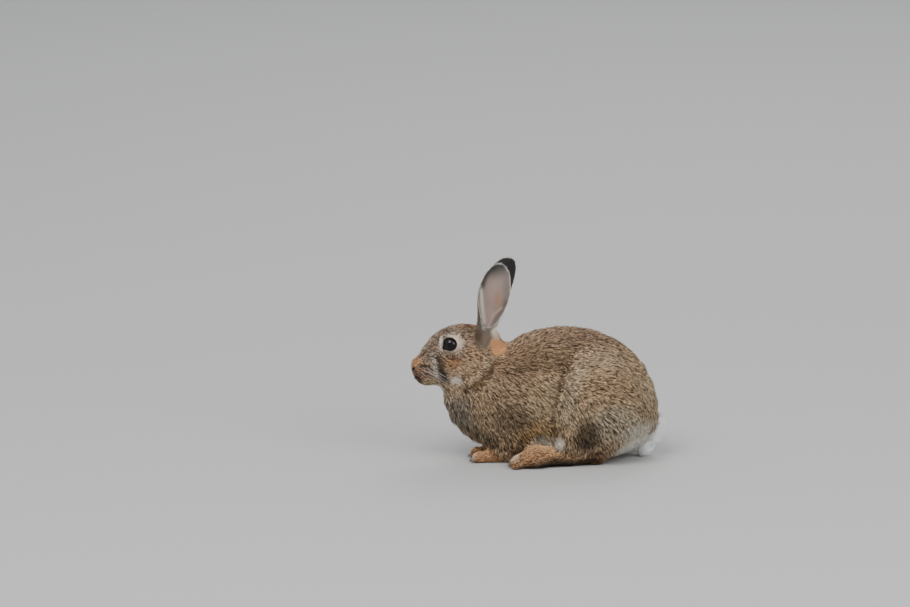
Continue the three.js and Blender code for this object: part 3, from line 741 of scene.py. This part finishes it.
# Each stripe: name, colour, its line in millimetres along the length and height, width, strength.
HEAD_STRIPES = (
    ("cheek front", "#332c26", ((-103, 107), (-101.5, 98), (-97.5, 87)), 3.2, 0.9),
    ("behind the pad", "#aaa398", ((-108, 107), (-107, 98), (-105, 90)), 2.0, 0.8),
    ("over the pad", "#38281c", ((-121, 97.5), (-114, 98.2), (-109, 95.5)), 1.6, 0.95),
    ("pad", "#423023", ((-123, 89.5), (-115, 89.8), (-109, 87.5)), 1.0, 0.9),
    ("lip", "#3b3132", ((-124, 87), (-120, 83.5)), 2.2, 0.8),
    ("nose", "#dcc6bd", ((-129.5, 101), (-129.5, 92)), 1.6, 0.9),
    ("under the ring", "#573a27", ((-96.5, 111), (-92, 109.8), (-87.5, 109.6)), 1.3, 0.9),
    ("tear", "#f7f1e4", ((-100.2, 115.5), (-99.6, 121), (-97.8, 125.5)), 1.4, 1.0),
    ("jaw edge", "#b8a68c", ((-82, 79), (-70, 86), (-60, 95), (-52, 104)), 1.6, 0.75),
    ("ear spot", "#231b15", ((-63.5, 125), (-62.5, 131)), 2.6, 0.9),
)
NECK_STRIPES = (
    # Painted shade: a dark stripe along and under the fold where the cheek meets the neck.
    ("shade behind the jaw", "#46331f", ((-78, 78), (-66, 84), (-56, 94), (-47.5, 104.5)), 3.6, 0.85),
)
# Painted shade and light: a darker stripe along the fold in front of the haunch, and a paler one on the
# haunch's front edge just behind it, where the light falls.
BODY_STRIPES = (
    ("shade before the haunch", "#5a4d3f", ((26, 102), (17, 90), (12, 73), (9, 50), (12, 38)), 4.2, 0.7),
    ("light on the haunch edge", "#a99c8a", ((36, 98), (29, 86), (25, 70), (21, 52)), 5.0, 0.6),
)
EAR_STRIPES = (
    ("front roll", "#efe4d6", ((-59.4, 182), (-58.4, 168), (-56.8, 154), (-55, 142)), 1.7, 1.0),
    ("upper front", "#3d3b35", ((-58, 181), (-55, 190.5), (-50, 198), (-43, 202.5), (-34, 200.5)), 2.6, 0.8),
    # Painted shade: a grey strip where the inside of the ear's rear wall lies in shadow.
    ("shade on the rear wall", "#716359", ((-34, 164.5), (-39, 154), (-43.6, 147), (-47.5, 140)), 2.4, 0.85),
    ("fold", "#d8bcb2", ((-38, 158.5), (-45.4, 151), (-49.3, 143.5), (-52, 137.5)), 0.6, 0.8),
)
EAR_BACK_STRIPES = (
    ("rear edge", "#f6f0e6", ((-29.5, 172), (-31, 166), (-35.2, 153), (-40, 144), (-43.5, 136)), 1.3, 1.0),
)
RIGHT_EAR_STRIPES = (
    ("rear edge", "#f6f2ea", ((-29, 202), (-25, 201.5), (-21, 197.5), (-19.6, 190), (-20, 180)), 0.7, 0.8),
)
# The heights of an ear's foot and tip in millimetres. Its middle is found at steps of one level.
EAR_FOOT, EAR_TIP = 126, 203
EAR_LEVEL = 4
# How each ear is set in the head: its place, how far it turns about its own length, splays and
# leans back in degrees, and how far it bows forwards below a height. Left first, drawn as a right.
EAR_SETTING = (((-54, 9, 124), (-12, -8, 11), 5.0), ((-52, 9, 124), (25, -8, 20), 0.5))
BOWED_BELOW = (55, 82)
# The rear of the rim is grey where it closes over the ear's foot: how much of its white is lost, and
# the heights and the lengths over which that sets in.
RIM_SHADE, RIM_SHADE_UP, RIM_SHADE_ALONG = 0.8, (150, 140), (-56, -52)
# How far past the lid margin its dark edge reaches, gone at the first distance and full at the
# second, and how far in towards the eye's centre.
LID_EDGE, LID_EDGE_INNERMOST = (0.85, 0.45), -2


def striped(values, points, stripes, share=1.0):
    """Lays soft-edged stripes over colours, each along a line on both sides of the body."""
    flat = on_left(points) * [1, 0, 1]
    for _, value, line, wide, strength in stripes:
        near = np.exp(-(from_line(flat, [(x, 0, z) for x, z in line]) / wide) ** 2)
        values = values + (share * strength * near)[:, None] * (np.array(linear(value)) - values)
    return values


def tinted(values, hex_colour, cover):
    """Colours mixed towards one colour, by how much it covers each point."""
    return values + cover[:, None] * (np.array(linear(hex_colour)) - values)


def ear_sides(points, normals):
    """1 on the hollow inner side of the ears, 0 on their backs."""
    inside = np.zeros(len(points))
    folded = points / MM
    for side in (-1, 1):
        mine = (part["ear"] > 0.3) & (folded[:, 1] * side > 0)
        levels = np.maximum((folded[:, 2] - EAR_FOOT) / EAR_LEVEL, 0).astype(int)
        for level in np.unique(levels[mine]):
            ring = mine & (levels == level)
            centre = folded[ring].mean(0)
            inside[ring] = ((centre - folded[ring]) * normals[ring]).sum(1) > 0
    return inside


def like_left_ear(points):
    """Each point of the right ear moved to where it would lie on the left one, for its markings."""
    turns = []
    for _, degrees, _ in EAR_SETTING:
        turn, splay, lean = (Matrix.Rotation(math.radians(d), 3, a) for d, a in zip(degrees, "ZXY"))
        turns.append(np.array(lean @ splay @ turn))
    (left_place, _, left_bow), (right_place, _, right_bow) = EAR_SETTING
    upright = (points / MM - right_place) @ turns[1]
    upright[:, 0] -= (left_bow - right_bow) * eased(upright[:, 2], *BOWED_BELOW[::-1])
    moved = (upright @ turns[0].T + left_place) * MM
    return np.where((points[:, 1] > 0)[:, None], moved, points)


inside = ear_sides(at, normal)
ear_inner = spread(inside, edges, 3)
ear_rim = part["ear"] * eased(4 * ear_inner * (1 - ear_inner), 0.35, 0.9)
on_ear = like_left_ear(at)
shaded = eased(on_ear[:, 2] / MM, *RIM_SHADE_UP) * eased(on_ear[:, 0] / MM, *RIM_SHADE_ALONG)
ear_rim *= 1 - RIM_SHADE * shaded
ear_high = np.clip((at[:, 2] / MM - EAR_FOOT) / (EAR_TIP - EAR_FOOT), 0, 1)


def marked(points):
    """The coat's mean colour at each vertex of the skin."""
    colour = np.tile(linear(AGOUTI), (len(points), 1))
    body = 1 - part["head"] - part["ear"]
    colour = striped(patched(colour, points, BODY_PATCHES, body), points, BODY_STRIPES, body)
    colour = striped(patched(colour, points, HEAD_PATCHES, part["head"]), points, HEAD_STRIPES, part["head"])
    neck = np.clip(2 * (part["neck"] + 0.4 * part["trunk"]), 0, 1)
    colour = striped(patched(colour, points, NECK_PATCHES, neck), points, NECK_STRIPES, neck)
    legs = part["foreleg"] + part["hind_foot"]
    colour = patched(tinted(colour, LEG_BUFF, legs), points, LEG_PATCHES, legs)
    colour = tinted(colour, TAIL_WHITE, part["tail"])
    back = patched(np.tile(linear(EAR_BACK), (len(points), 1)), on_ear, EAR_BACK_PATCHES)
    hollow = patched(np.tile(linear(EAR_HOLLOW), (len(points), 1)), on_ear, EAR_PATCHES)
    ear = back + eased(ear_inner, 0.4, 0.6)[:, None] * (hollow - back)
    ear = striped(ear, on_ear, EAR_STRIPES, eased(ear_inner, 0.04, 0.3))
    outside = 1 - eased(ear_inner, 0.3, 0.6)
    ear = striped(ear, on_ear, EAR_BACK_STRIPES, outside)
    ear = striped(ear, points, RIGHT_EAR_STRIPES, outside * (points[:, 1] > 0))
    ear = tinted(ear, EAR_RIM, ear_rim * eased(ear_high, 0.02, 0.15))
    colour += part["ear"][:, None] * (ear - colour)
    colour = patched(colour, points, NAPE_PATCHES, 1 - part["ear"] * ear_inner)
    # Painted shade: the bare inside of each nostril, where its groove is deepest, is darkened to near black.
    colour = tinted(colour, NOSTRIL_SHADE, bare)
    seen, away, _ = from_eye(points)
    lid_edge = eased(past_lids(points), *LID_EDGE) * (away < LID_ROOT) * (seen[:, 1] > LID_EDGE_INNERMOST)
    return tinted(colour, LID_SKIN, lid_edge)


def paint(mesh, name, values):
    """Stores a colour for every vertex of a mesh."""
    layer = mesh.color_attributes.new(name, "FLOAT_COLOR", "POINT")
    full = np.concatenate([values, np.ones((len(values), 1))], 1)
    layer.data.foreach_set("color", full.astype(np.float32).ravel())


colour = spread(marked(at), edges, 1)
paint(skin.data, "markings", colour)

# Thin hide under a dense, dull underfur, whose clumps break up the colour and roughen the light.
UNDERFUR_WIDE, UNDERFUR_HIGH = 0.714 * MM, 0.3 * MM
hide, tree, shader = material("hide with short underfur")
tint = node(tree, "ShaderNodeAttribute", {"attribute_name": "markings"})
place = node(tree, "ShaderNodeTexCoord").outputs["Object"]
fuzz = node(tree, "ShaderNodeTexNoise", Vector=place, Scale=1 / UNDERFUR_WIDE, Detail=3)
mottled = node(
    tree, "ShaderNodeMix", {"data_type": "RGBA", "blend_type": "MULTIPLY"},
    n0=0.5, n6=tint.outputs["Color"], n7=fuzz.outputs["Color"],
)
tree.links.new(mottled.outputs[2], shader.inputs["Base Color"])
grain = node(tree, "ShaderNodeBump", Strength=0.4, Distance=UNDERFUR_HIGH, Height=fuzz.outputs["Fac"])
tree.links.new(grain.outputs["Normal"], shader.inputs["Normal"])
shader.inputs["Roughness"].default_value = 0.85
skin.data.materials.clear()
skin.data.materials.append(hide)

# ---------------------------------------------------------------- coat
# The fur stands as many thousands of slim pointed tufts, each a few dozen hairs wide. They root
# in the hide, lean back along the lie and overlap, short on the face and feet, long on the body.
# A tuft and a whisker both have this many sides.
SIDES = 3
TUFT = {
    # width in mm, tufts per square mm, lift at the root and near the tip in degrees, on each part
    "head": (0.42, 3.6, 26, 10),
    "neck": (0.6, 2.8, 30, 12),
    "trunk": (0.65, 2.7, 30, 12),
    "haunch": (0.62, 2.7, 30, 12),
    "hind_foot": (0.52, 2.3, 26, 8),
    "foreleg": (0.45, 2.8, 26, 8),
    "tail": (0.75, 5.2, 26, 12),
    "ear": (0.38, 3.4, 18, 6),
}
# Skin is top or under by its normal's height. Fewer tufts grow under the trunk, out of sight.
TOP, UNDER = 0.62, -0.35
HIDDEN_SHARE = 0.28
# Where a tuft is widest, as a share of its length, and how deep it roots.
WIDEST = 0.55
STATIONS = (0.0, WIDEST, 1.0)
ROOTED = 0.35 * MM
# The ring of a tuft lies on an oval that is this much as high as it is wide.
FLATTENED = 0.7
# The side of a tuft's patch on the map.
PATCH = 0.003
# A fleck's colour, and the slate root's, as shares of the mean colour there.
LIGHT_FLECK = np.array([3.3, 3.25, 3.0])
DARK_FLECK = np.array([0.2, 0.18, 0.16])
SLATE_ROOT = 0.45
# How strongly the hairs are banded, by part; pale and cream fur is hardly banded at all.
BANDED = {
    "head": 0.9, "neck": 1.0, "trunk": 1.0, "haunch": 1.0,
    "hind_foot": 0.8, "foreleg": 0.7, "tail": 0.1, "ear": 0.12,
}
PALE = (0.28, 0.55)
BRIGHTEST = 0.9
# Flecks are this wide, and are drawn out along the hair by steps of this length.
FLECK_WIDE = 0.62 * MM
FLECK_STEP = 0.4 * MM
FLECK_SHARP = 8.0
# The coat's locks turn and lift together over the wider distance, and its wisps over the finer one.
LOCK_WIDE, WISP_WIDE = 5 * MM, 1.2 * MM
# Hair that would reach the ground is pressed flat on it.
PRESSED = 0.5 * MM
PRESSED_SHARE = 0.1
# How much the locks, the wisps and chance turn each tuft, and change its length and its lift.
TURN_BY = (0.3, 0.3, 0.1)
LENGTH_BY, LENGTH_RANGE = (0.25, 0.14), (0.5, 1.4)
LIFT_BY, LIFT_RANGE = (0.5, 0.12), (0.3, 1.7)
GIRTH_RANGE = (0.75, 1.25)
TONE_BY = 0.3
# In the hollow of an ear the hair is short and almost gone, on its rim it is dense and a little
# shorter, and low on its back it is longer: shares of the length and number, and millimetres.
HOLLOW_SHORT, HOLLOW_GONE = 0.5, 0.9
RIM_SHORT, RIM_DENSE = 0.3, 1.2
EAR_FOOT_LONGER, EAR_FOOT_HIGH = 3.0, 0.22
# Large numbers that scramble a cell's place into a value, and the span that it stays in.
SCRAMBLERS = (374761393, 668265263, 2147483647, 1274126177)
WORD = 0xFFFFFFFF
draw = np.random.default_rng(7)


def lattice(points, cell, seed):
    """Smooth random values from 0 to 1 that change over one cell."""
    grid = points / cell
    whole = np.floor(grid).astype(np.int64)
    part_way = grid - whole
    part_way = part_way * part_way * (3 - 2 * part_way)
    total = 0
    for corner in range(8):
        step = np.array([corner & 1, corner >> 1 & 1, corner >> 2 & 1])
        mixed = sum(n * large for n, large in zip((*(whole + step).T, seed), SCRAMBLERS)) & WORD
        mixed = ((mixed ^ (mixed >> 13)) * SCRAMBLERS[-1]) & WORD
        value = ((mixed ^ (mixed >> 16)) & 0xFFFF) / 65535
        total = total + value * np.prod(np.where(step, part_way, 1 - part_way), axis=1)
    return total


wide, thick, root_lift, tip_lift = (by_part({p: TUFT[p][k] for p in PARTS}) for k in range(4))
hair = patched(by_part(HAIR), at, HAIR_PATCHES, 1 - part["ear"])
hollow = part["ear"] * eased(ear_inner, 0.5, 0.8)
hair = hair * (1 - HOLLOW_SHORT * hollow) * (1 - RIM_SHORT * ear_rim)
thick = thick * (1 + RIM_DENSE * ear_rim) * (1 - HOLLOW_GONE * hollow)
banded = by_part(BANDED) * (1 - eased(colour.mean(1), *PALE)) * (1 - ear_rim) * (1 - hollow)
hair += part["ear"] * (1 - ear_inner) * EAR_FOOT_LONGER * eased(ear_high, EAR_FOOT_HIGH, 0.0)
# No hair grows on bare skin or inside the lids.
socket = (np.linalg.norm(from_eye(at)[0], axis=1) < LID_ROOT) & (past_lids(at) < MARGIN_BLEND[1])
thick = thick * (1 - bare) * ~socket
thick = np.where((normal[:, 2] < UNDER) & (part["trunk"] > 0.5), thick * HIDDEN_SHARE, thick)


def unwrapped(faces):
    """An unwrap of some faces of the skin: the map places of each face's three corners."""
    used, local = np.unique(faces, return_inverse=True)
    mesh = bpy.data.meshes.new("unwrap")
    mesh.from_pydata(at[used].tolist(), [], local.reshape(-1, 3).tolist())
    flat = bpy.data.objects.new("unwrap", mesh)
    bpy.context.collection.objects.link(flat)
    only(flat)
    bpy.ops.object.mode_set(mode="EDIT")
    bpy.ops.mesh.select_all(action="SELECT")
    bpy.ops.uv.smart_project(angle_limit=math.radians(66), island_margin=0.003)
    bpy.ops.object.mode_set(mode="OBJECT")
    places = np.empty(len(mesh.loops) * 2)
    mesh.uv_layers.active.data.foreach_get("uv", places)
    bpy.data.objects.remove(flat)
    bpy.data.meshes.remove(mesh)
    return places.reshape(-1, 3, 2)


def strands(name, points, pattern, patch, map_places, tones):
    """A joined mesh of like strands: their points, faces and map patch, and a colour for each point."""
    count, per = points.shape[:2]
    triangles = (np.arange(count)[:, None, None] * per + pattern).reshape(-1, 3)
    mesh = bpy.data.meshes.new(name)
    mesh.vertices.add(count * per)
    mesh.vertices.foreach_set("co", points.astype(np.float32).ravel())
    mesh.loops.add(len(triangles) * 3)
    mesh.loops.foreach_set("vertex_index", triangles.astype(np.int32).ravel())
    mesh.polygons.add(len(triangles))
    mesh.polygons.foreach_set("loop_start", np.arange(0, len(triangles) * 3, 3, dtype=np.int32))
    mesh.polygons.foreach_set("use_smooth", np.ones(len(triangles), bool))
    mesh.update(calc_edges=True)
    chart = mesh.uv_layers.new(name="OFBake", do_init=False)
    spots = map_places[:, None, None, :] + PATCH * (patch[None] - 0.5)
    chart.data.foreach_set("uv", spots.clip(0, 1).astype(np.float32).ravel())
    paint(mesh, "markings", tones.reshape(-1, 3))
    made = bpy.data.objects.new(name, mesh)
    bpy.context.collection.objects.link(made)
    return made


def tuft_faces():
    """The triangles of a tuft, from its root round the ring to its tip, and their corners on the map."""
    tip = 1 + SIDES
    faces, corner_places = [], []
    for side in range(SIDES):
        following = 1 + (side + 1) % SIDES
        near, far = side / SIDES, (side + 1) / SIDES
        faces += [(0, following, 1 + side), (1 + side, following, tip)]
        corner_places.append(((0, near), (WIDEST, far), (WIDEST, near)))
        corner_places.append(((WIDEST, near), (WIDEST, far), (1, far)))
    return np.array(faces), np.array(corner_places)


TUFT_FACES, TUFT_CORNERS = tuft_faces()


def grown_tufts(name, faces):
    """One piece of coat: a joined mesh of tufts rooted on some faces of the skin."""
    a, b, c = (at[faces[:, i]] for i in range(3))
    area = 0.5 * np.linalg.norm(np.cross(b - a, c - a), axis=1) / MM ** 2
    wanted = area * thick[faces].mean(1)
    face = np.repeat(np.arange(len(faces)), np.floor(wanted + draw.random(len(faces))).astype(int))
    count = len(face)
    u, v = np.sqrt(draw.random(count)), draw.random(count)
    share = np.stack([1 - u, u * (1 - v), u * v], 1)

    def here(values):
        picked = values[faces[face]]
        return np.einsum("nk,nk...->n...", share, picked)

    root, up, way = here(at), unit(here(normal)), here(lie)
    gust = [lattice(root, LOCK_WIDE, seed) - 0.5 for seed in (1, 2)]
    puff = [lattice(root, WISP_WIDE, seed) - 0.5 for seed in (3, 4)]
    across = unit(np.cross(up, way))
    swerve = TURN_BY[0] * gust[0] + TURN_BY[1] * puff[0] + TURN_BY[2] * draw.standard_normal(count)
    way = unit(way + swerve[:, None] * across)
    across = unit(np.cross(up, way))
    way = np.cross(across, up)
    own = TONE_BY * draw.standard_normal(count)

    def flecks(places):
        """Pale and dark flecks drawn out along the hair, 1 where palest."""
        value = sum(lattice(places + k * FLECK_STEP * way, FLECK_WIDE, 9) for k in (-1, 0, 1)) / 3
        return eased((value - 0.5) * FLECK_SHARP + 0.5 + own, 0, 1)

    longer = 1 + LENGTH_BY[0] * gust[1] + LENGTH_BY[1] * draw.standard_normal(count)
    long = here(hair) * MM * longer.clip(*LENGTH_RANGE)
    girth = here(wide) * MM * draw.uniform(*GIRTH_RANGE, count)
    steeper = 1 + LIFT_BY[0] * puff[1] + LIFT_BY[1] * draw.standard_normal(count)
    lift = np.radians(here(root_lift)) * steeper.clip(*LIFT_RANGE)
    lift_end = np.radians(here(tip_lift)) * (1 + puff[0])
    curve = here(bend)
    line = [root - ROOTED * up]
    for before, after in zip(STATIONS, STATIONS[1:]):
        mid = (before + after) / 2
        angle = lift + (lift_end - lift) * mid - curve * long * mid
        way_here = np.cos(angle)[:, None] * way + np.sin(angle)[:, None] * up
        line.append(line[-1] + ((after - before) * long)[:, None] * way_here)
    ring = []
    for side in range(SIDES):
        turn = math.radians(90 + 360 / SIDES * side)
        offset = math.cos(turn) * across + FLATTENED * math.sin(turn) * up
        ring.append(line[1] + 0.5 * girth[:, None] * offset)
    points = np.stack([line[0], *ring, line[-1]], 1)
    high = points[:, :, 2]
    points[:, :, 2] = np.where(high < PRESSED, PRESSED + PRESSED_SHARE * (high - PRESSED), high)
    map_places = np.einsum("nk,nkc->nc", share, unwrapped(faces)[face])

    mean, strength = here(colour), here(banded)[:, None]
    plain = (LIGHT_FLECK + DARK_FLECK).mean() / 2
    band, tip_tone = (
        plain + strength * (DARK_FLECK + flecks(line[k])[:, None] * (LIGHT_FLECK - DARK_FLECK) - plain)
        for k in (1, 2)
    )
    root_tone = 1 - (1 - SLATE_ROOT) * strength
    tones = np.stack([mean * root_tone, *[mean * band] * SIDES, mean * tip_tone], 1)
    tones *= np.minimum(1, BRIGHTEST / tones.max(2, keepdims=True))
    return strands(name, points, TUFT_FACES, TUFT_CORNERS, map_places, tones)


# Guard hair is a smooth dry fibre: dull across, with a faint broad sheen.
fur, tree, shader = material("agouti guard hair")
tint = node(tree, "ShaderNodeAttribute", {"attribute_name": "markings"})
tree.links.new(tint.outputs["Color"], shader.inputs["Base Color"])
shader.inputs["Roughness"].default_value = 0.62
shader.inputs["Specular IOR Level"].default_value = 0.35

home = np.argmax(np.stack([part[p] for p in PARTS]), 0)[corners[:, 0]]
middle, facing = at[corners].mean(1), normal[corners].mean(1)
left = middle[:, 1] < 0
top, under = facing[:, 2] > TOP, facing[:, 2] < UNDER
is_part = {p: home == i for i, p in enumerate(PARTS)}
trunk = is_part["trunk"]
# Each piece of the coat: its name, the faces that it grows on, and its slot.
COAT = (
    ("coat_face_left", is_part["head"] & left, "coat"),
    ("coat_face_right", is_part["head"] & ~left, "coat"),
    ("coat_neck", is_part["neck"], "coat"),
    ("coat_back", trunk & top, "coat"),
    ("coat_side_left", trunk & ~top & ~under & left, "coat"),
    ("coat_side_right", trunk & ~top & ~under & ~left, "coat"),
    ("coat_belly", trunk & under, "coat"),
    ("coat_haunch_left", is_part["haunch"] & left, "coat"),
    ("coat_haunch_right", is_part["haunch"] & ~left, "coat"),
    ("coat_hind_feet", is_part["hind_foot"], "foot_fur"),
    ("coat_forelegs", is_part["foreleg"], "foot_fur"),
    ("coat_tail", is_part["tail"], "tail_fur"),
    ("coat_ear_left", is_part["ear"] & left, "ear_fur"),
    ("coat_ear_right", is_part["ear"] & ~left, "ear_fur"),
)
for name, chosen, slot in COAT:
    coat = grown_tufts(name, corners[chosen])
    coat.data.materials.append(fur)
    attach(coat, "root")

# ---------------------------------------------------------------- whiskers
# Long white whiskers in rows on each whisker pad, with a few stiff hairs over each eye. Each is
# a thin tapered rod that leaves the skin outwards and back, and bends down with its own weight.
WHISKER_ROOTS = (
    # rows on the left side, in mm: first root, last root, how many, length at the first and the last
    ((-121, 8, 97), (-109, 14, 97), 4, 26, 48),
    ((-121.5, 8, 93.5), (-108.5, 14.5, 93), 5, 24, 54),
    ((-120, 8, 90), (-109.5, 13.5, 89), 4, 20, 44),
    ((-95, 17, 129.5), (-88, 18, 130), 3, 18, 24),
)
WHISKER_WHITE = "#e9e5dc"
# Its radius at the root, and the share of that which is left at the tip.
WHISKER_RADIUS, WHISKER_TIP = 0.13 * MM, 0.07
WHISKER_STEPS = 10
WHISKER_ROOTED = 0.8 * MM
# The way a whisker leaves the pad on the left or right, how much farther back the last one of a row
# points, and the way of the hairs over the eye. Each is turned a little by chance and by the skin.
PAD_WAY, ROW_SWEEP = Vector((0.5, 0.75, -0.25)), 0.35
BROW_WAY = Vector((0.55, 0.75, 0.6))
WAY_CHANCE, WAY_OUT = 0.16, 0.2
LENGTH_CHANCE = (0.85, 1.1)
# How far a whisker has bent back and down at its tip.
WHISKER_BACK, WHISKER_DOWN = 0.5, 0.75

hide_shape = BVHTree.FromPolygons([Vector(p) for p in at], [tuple(int(i) for i in f) for f in corners])
rods = []
for first, last, number, short, full in WHISKER_ROOTS:
    for k in range(number):
        share = k / (number - 1)
        for side in (-1, 1):
            spot = Vector([a + share * (b - a) for a, b in zip(first, last)]) * MM
            spot.y *= side
            base, out, _, _ = hide_shape.find_nearest(spot)
            over_eye = first[2] > EYE.z / MM
            way = BROW_WAY.copy() if over_eye else PAD_WAY + Vector((ROW_SWEEP * share, 0, 0))
            way.y *= side
            way = (way + Vector(draw.uniform(-WAY_CHANCE, WAY_CHANCE, 3))).normalized() + WAY_OUT * out
            long = (short + share * (full - short)) * draw.uniform(*LENGTH_CHANCE) * MM
            line = [base - WHISKER_ROOTED * way]
            for step in range(WHISKER_STEPS):
                t = step / WHISKER_STEPS
                sag = Vector((WHISKER_BACK * t, 0, -WHISKER_DOWN * t * t))
                line.append(line[-1] + long / WHISKER_STEPS * (way + sag).normalized())
            rods.append(line)
rods = np.array([[tuple(p) for p in line] for line in rods])
ways = unit(np.gradient(rods, axis=1))
sideways = unit(np.cross(ways, [0.1, 0.2, 1.0]))
upwards = np.cross(sideways, ways)
taper = WHISKER_RADIUS * np.linspace(1, WHISKER_TIP, WHISKER_STEPS + 1)[None, :, None]
rings = []
for k in range(SIDES):
    turn = 2 * math.pi / SIDES * k
    rings.append(rods + taper * (math.cos(turn) * sideways + math.sin(turn) * upwards))
rod_points = np.stack(rings, 2).reshape(len(rods), -1, 3)
rod_faces = []
for step in range(WHISKER_STEPS):
    for k in range(SIDES):
        here, beside = step * SIDES + k, step * SIDES + (k + 1) % SIDES
        rod_faces += [(here, beside, beside + SIDES), (here, beside + SIDES, here + SIDES)]
rod_faces.append(tuple(WHISKER_STEPS * SIDES + k for k in range(SIDES)))
whiskers = strands(
    "whisker_hairs", rod_points, np.array(rod_faces), np.zeros((len(rod_faces), 3, 2)),
    np.full((len(rods), 2), 0.5), np.tile(linear(WHISKER_WHITE), (*rod_points.shape[:2], 1)),
)
whiskers.data.materials.append(fur)
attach(whiskers, "root")

# ---------------------------------------------------------------- claws
# Four slim claws on each paw, of dark brown horn with paler streaks, half hidden by the fur. Horn is
# hard and a little glossy.
HORN_STREAK = 2 * MM
HORN_DARK, HORN_PALE = "#2e261f", "#5b4d40"
horn, tree, shader = material("claw horn")
place = node(tree, "ShaderNodeTexCoord").outputs["Object"]
grown_lines = node(tree, "ShaderNodeTexNoise", Vector=place, Scale=1 / HORN_STREAK, Detail=4)
tones = node(tree, "ShaderNodeValToRGB", Fac=grown_lines.outputs["Fac"])
tones.color_ramp.elements[0].color = (*linear(HORN_DARK), 1)
tones.color_ramp.elements[1].color = (*linear(HORN_PALE), 1)
tree.links.new(tones.outputs["Color"], shader.inputs["Base Color"])
shader.inputs["Roughness"].default_value = 0.35
for name, claw in frame["nodes"].items():
    if name.startswith("claw"):
        claw.material_slots[0].material = horn
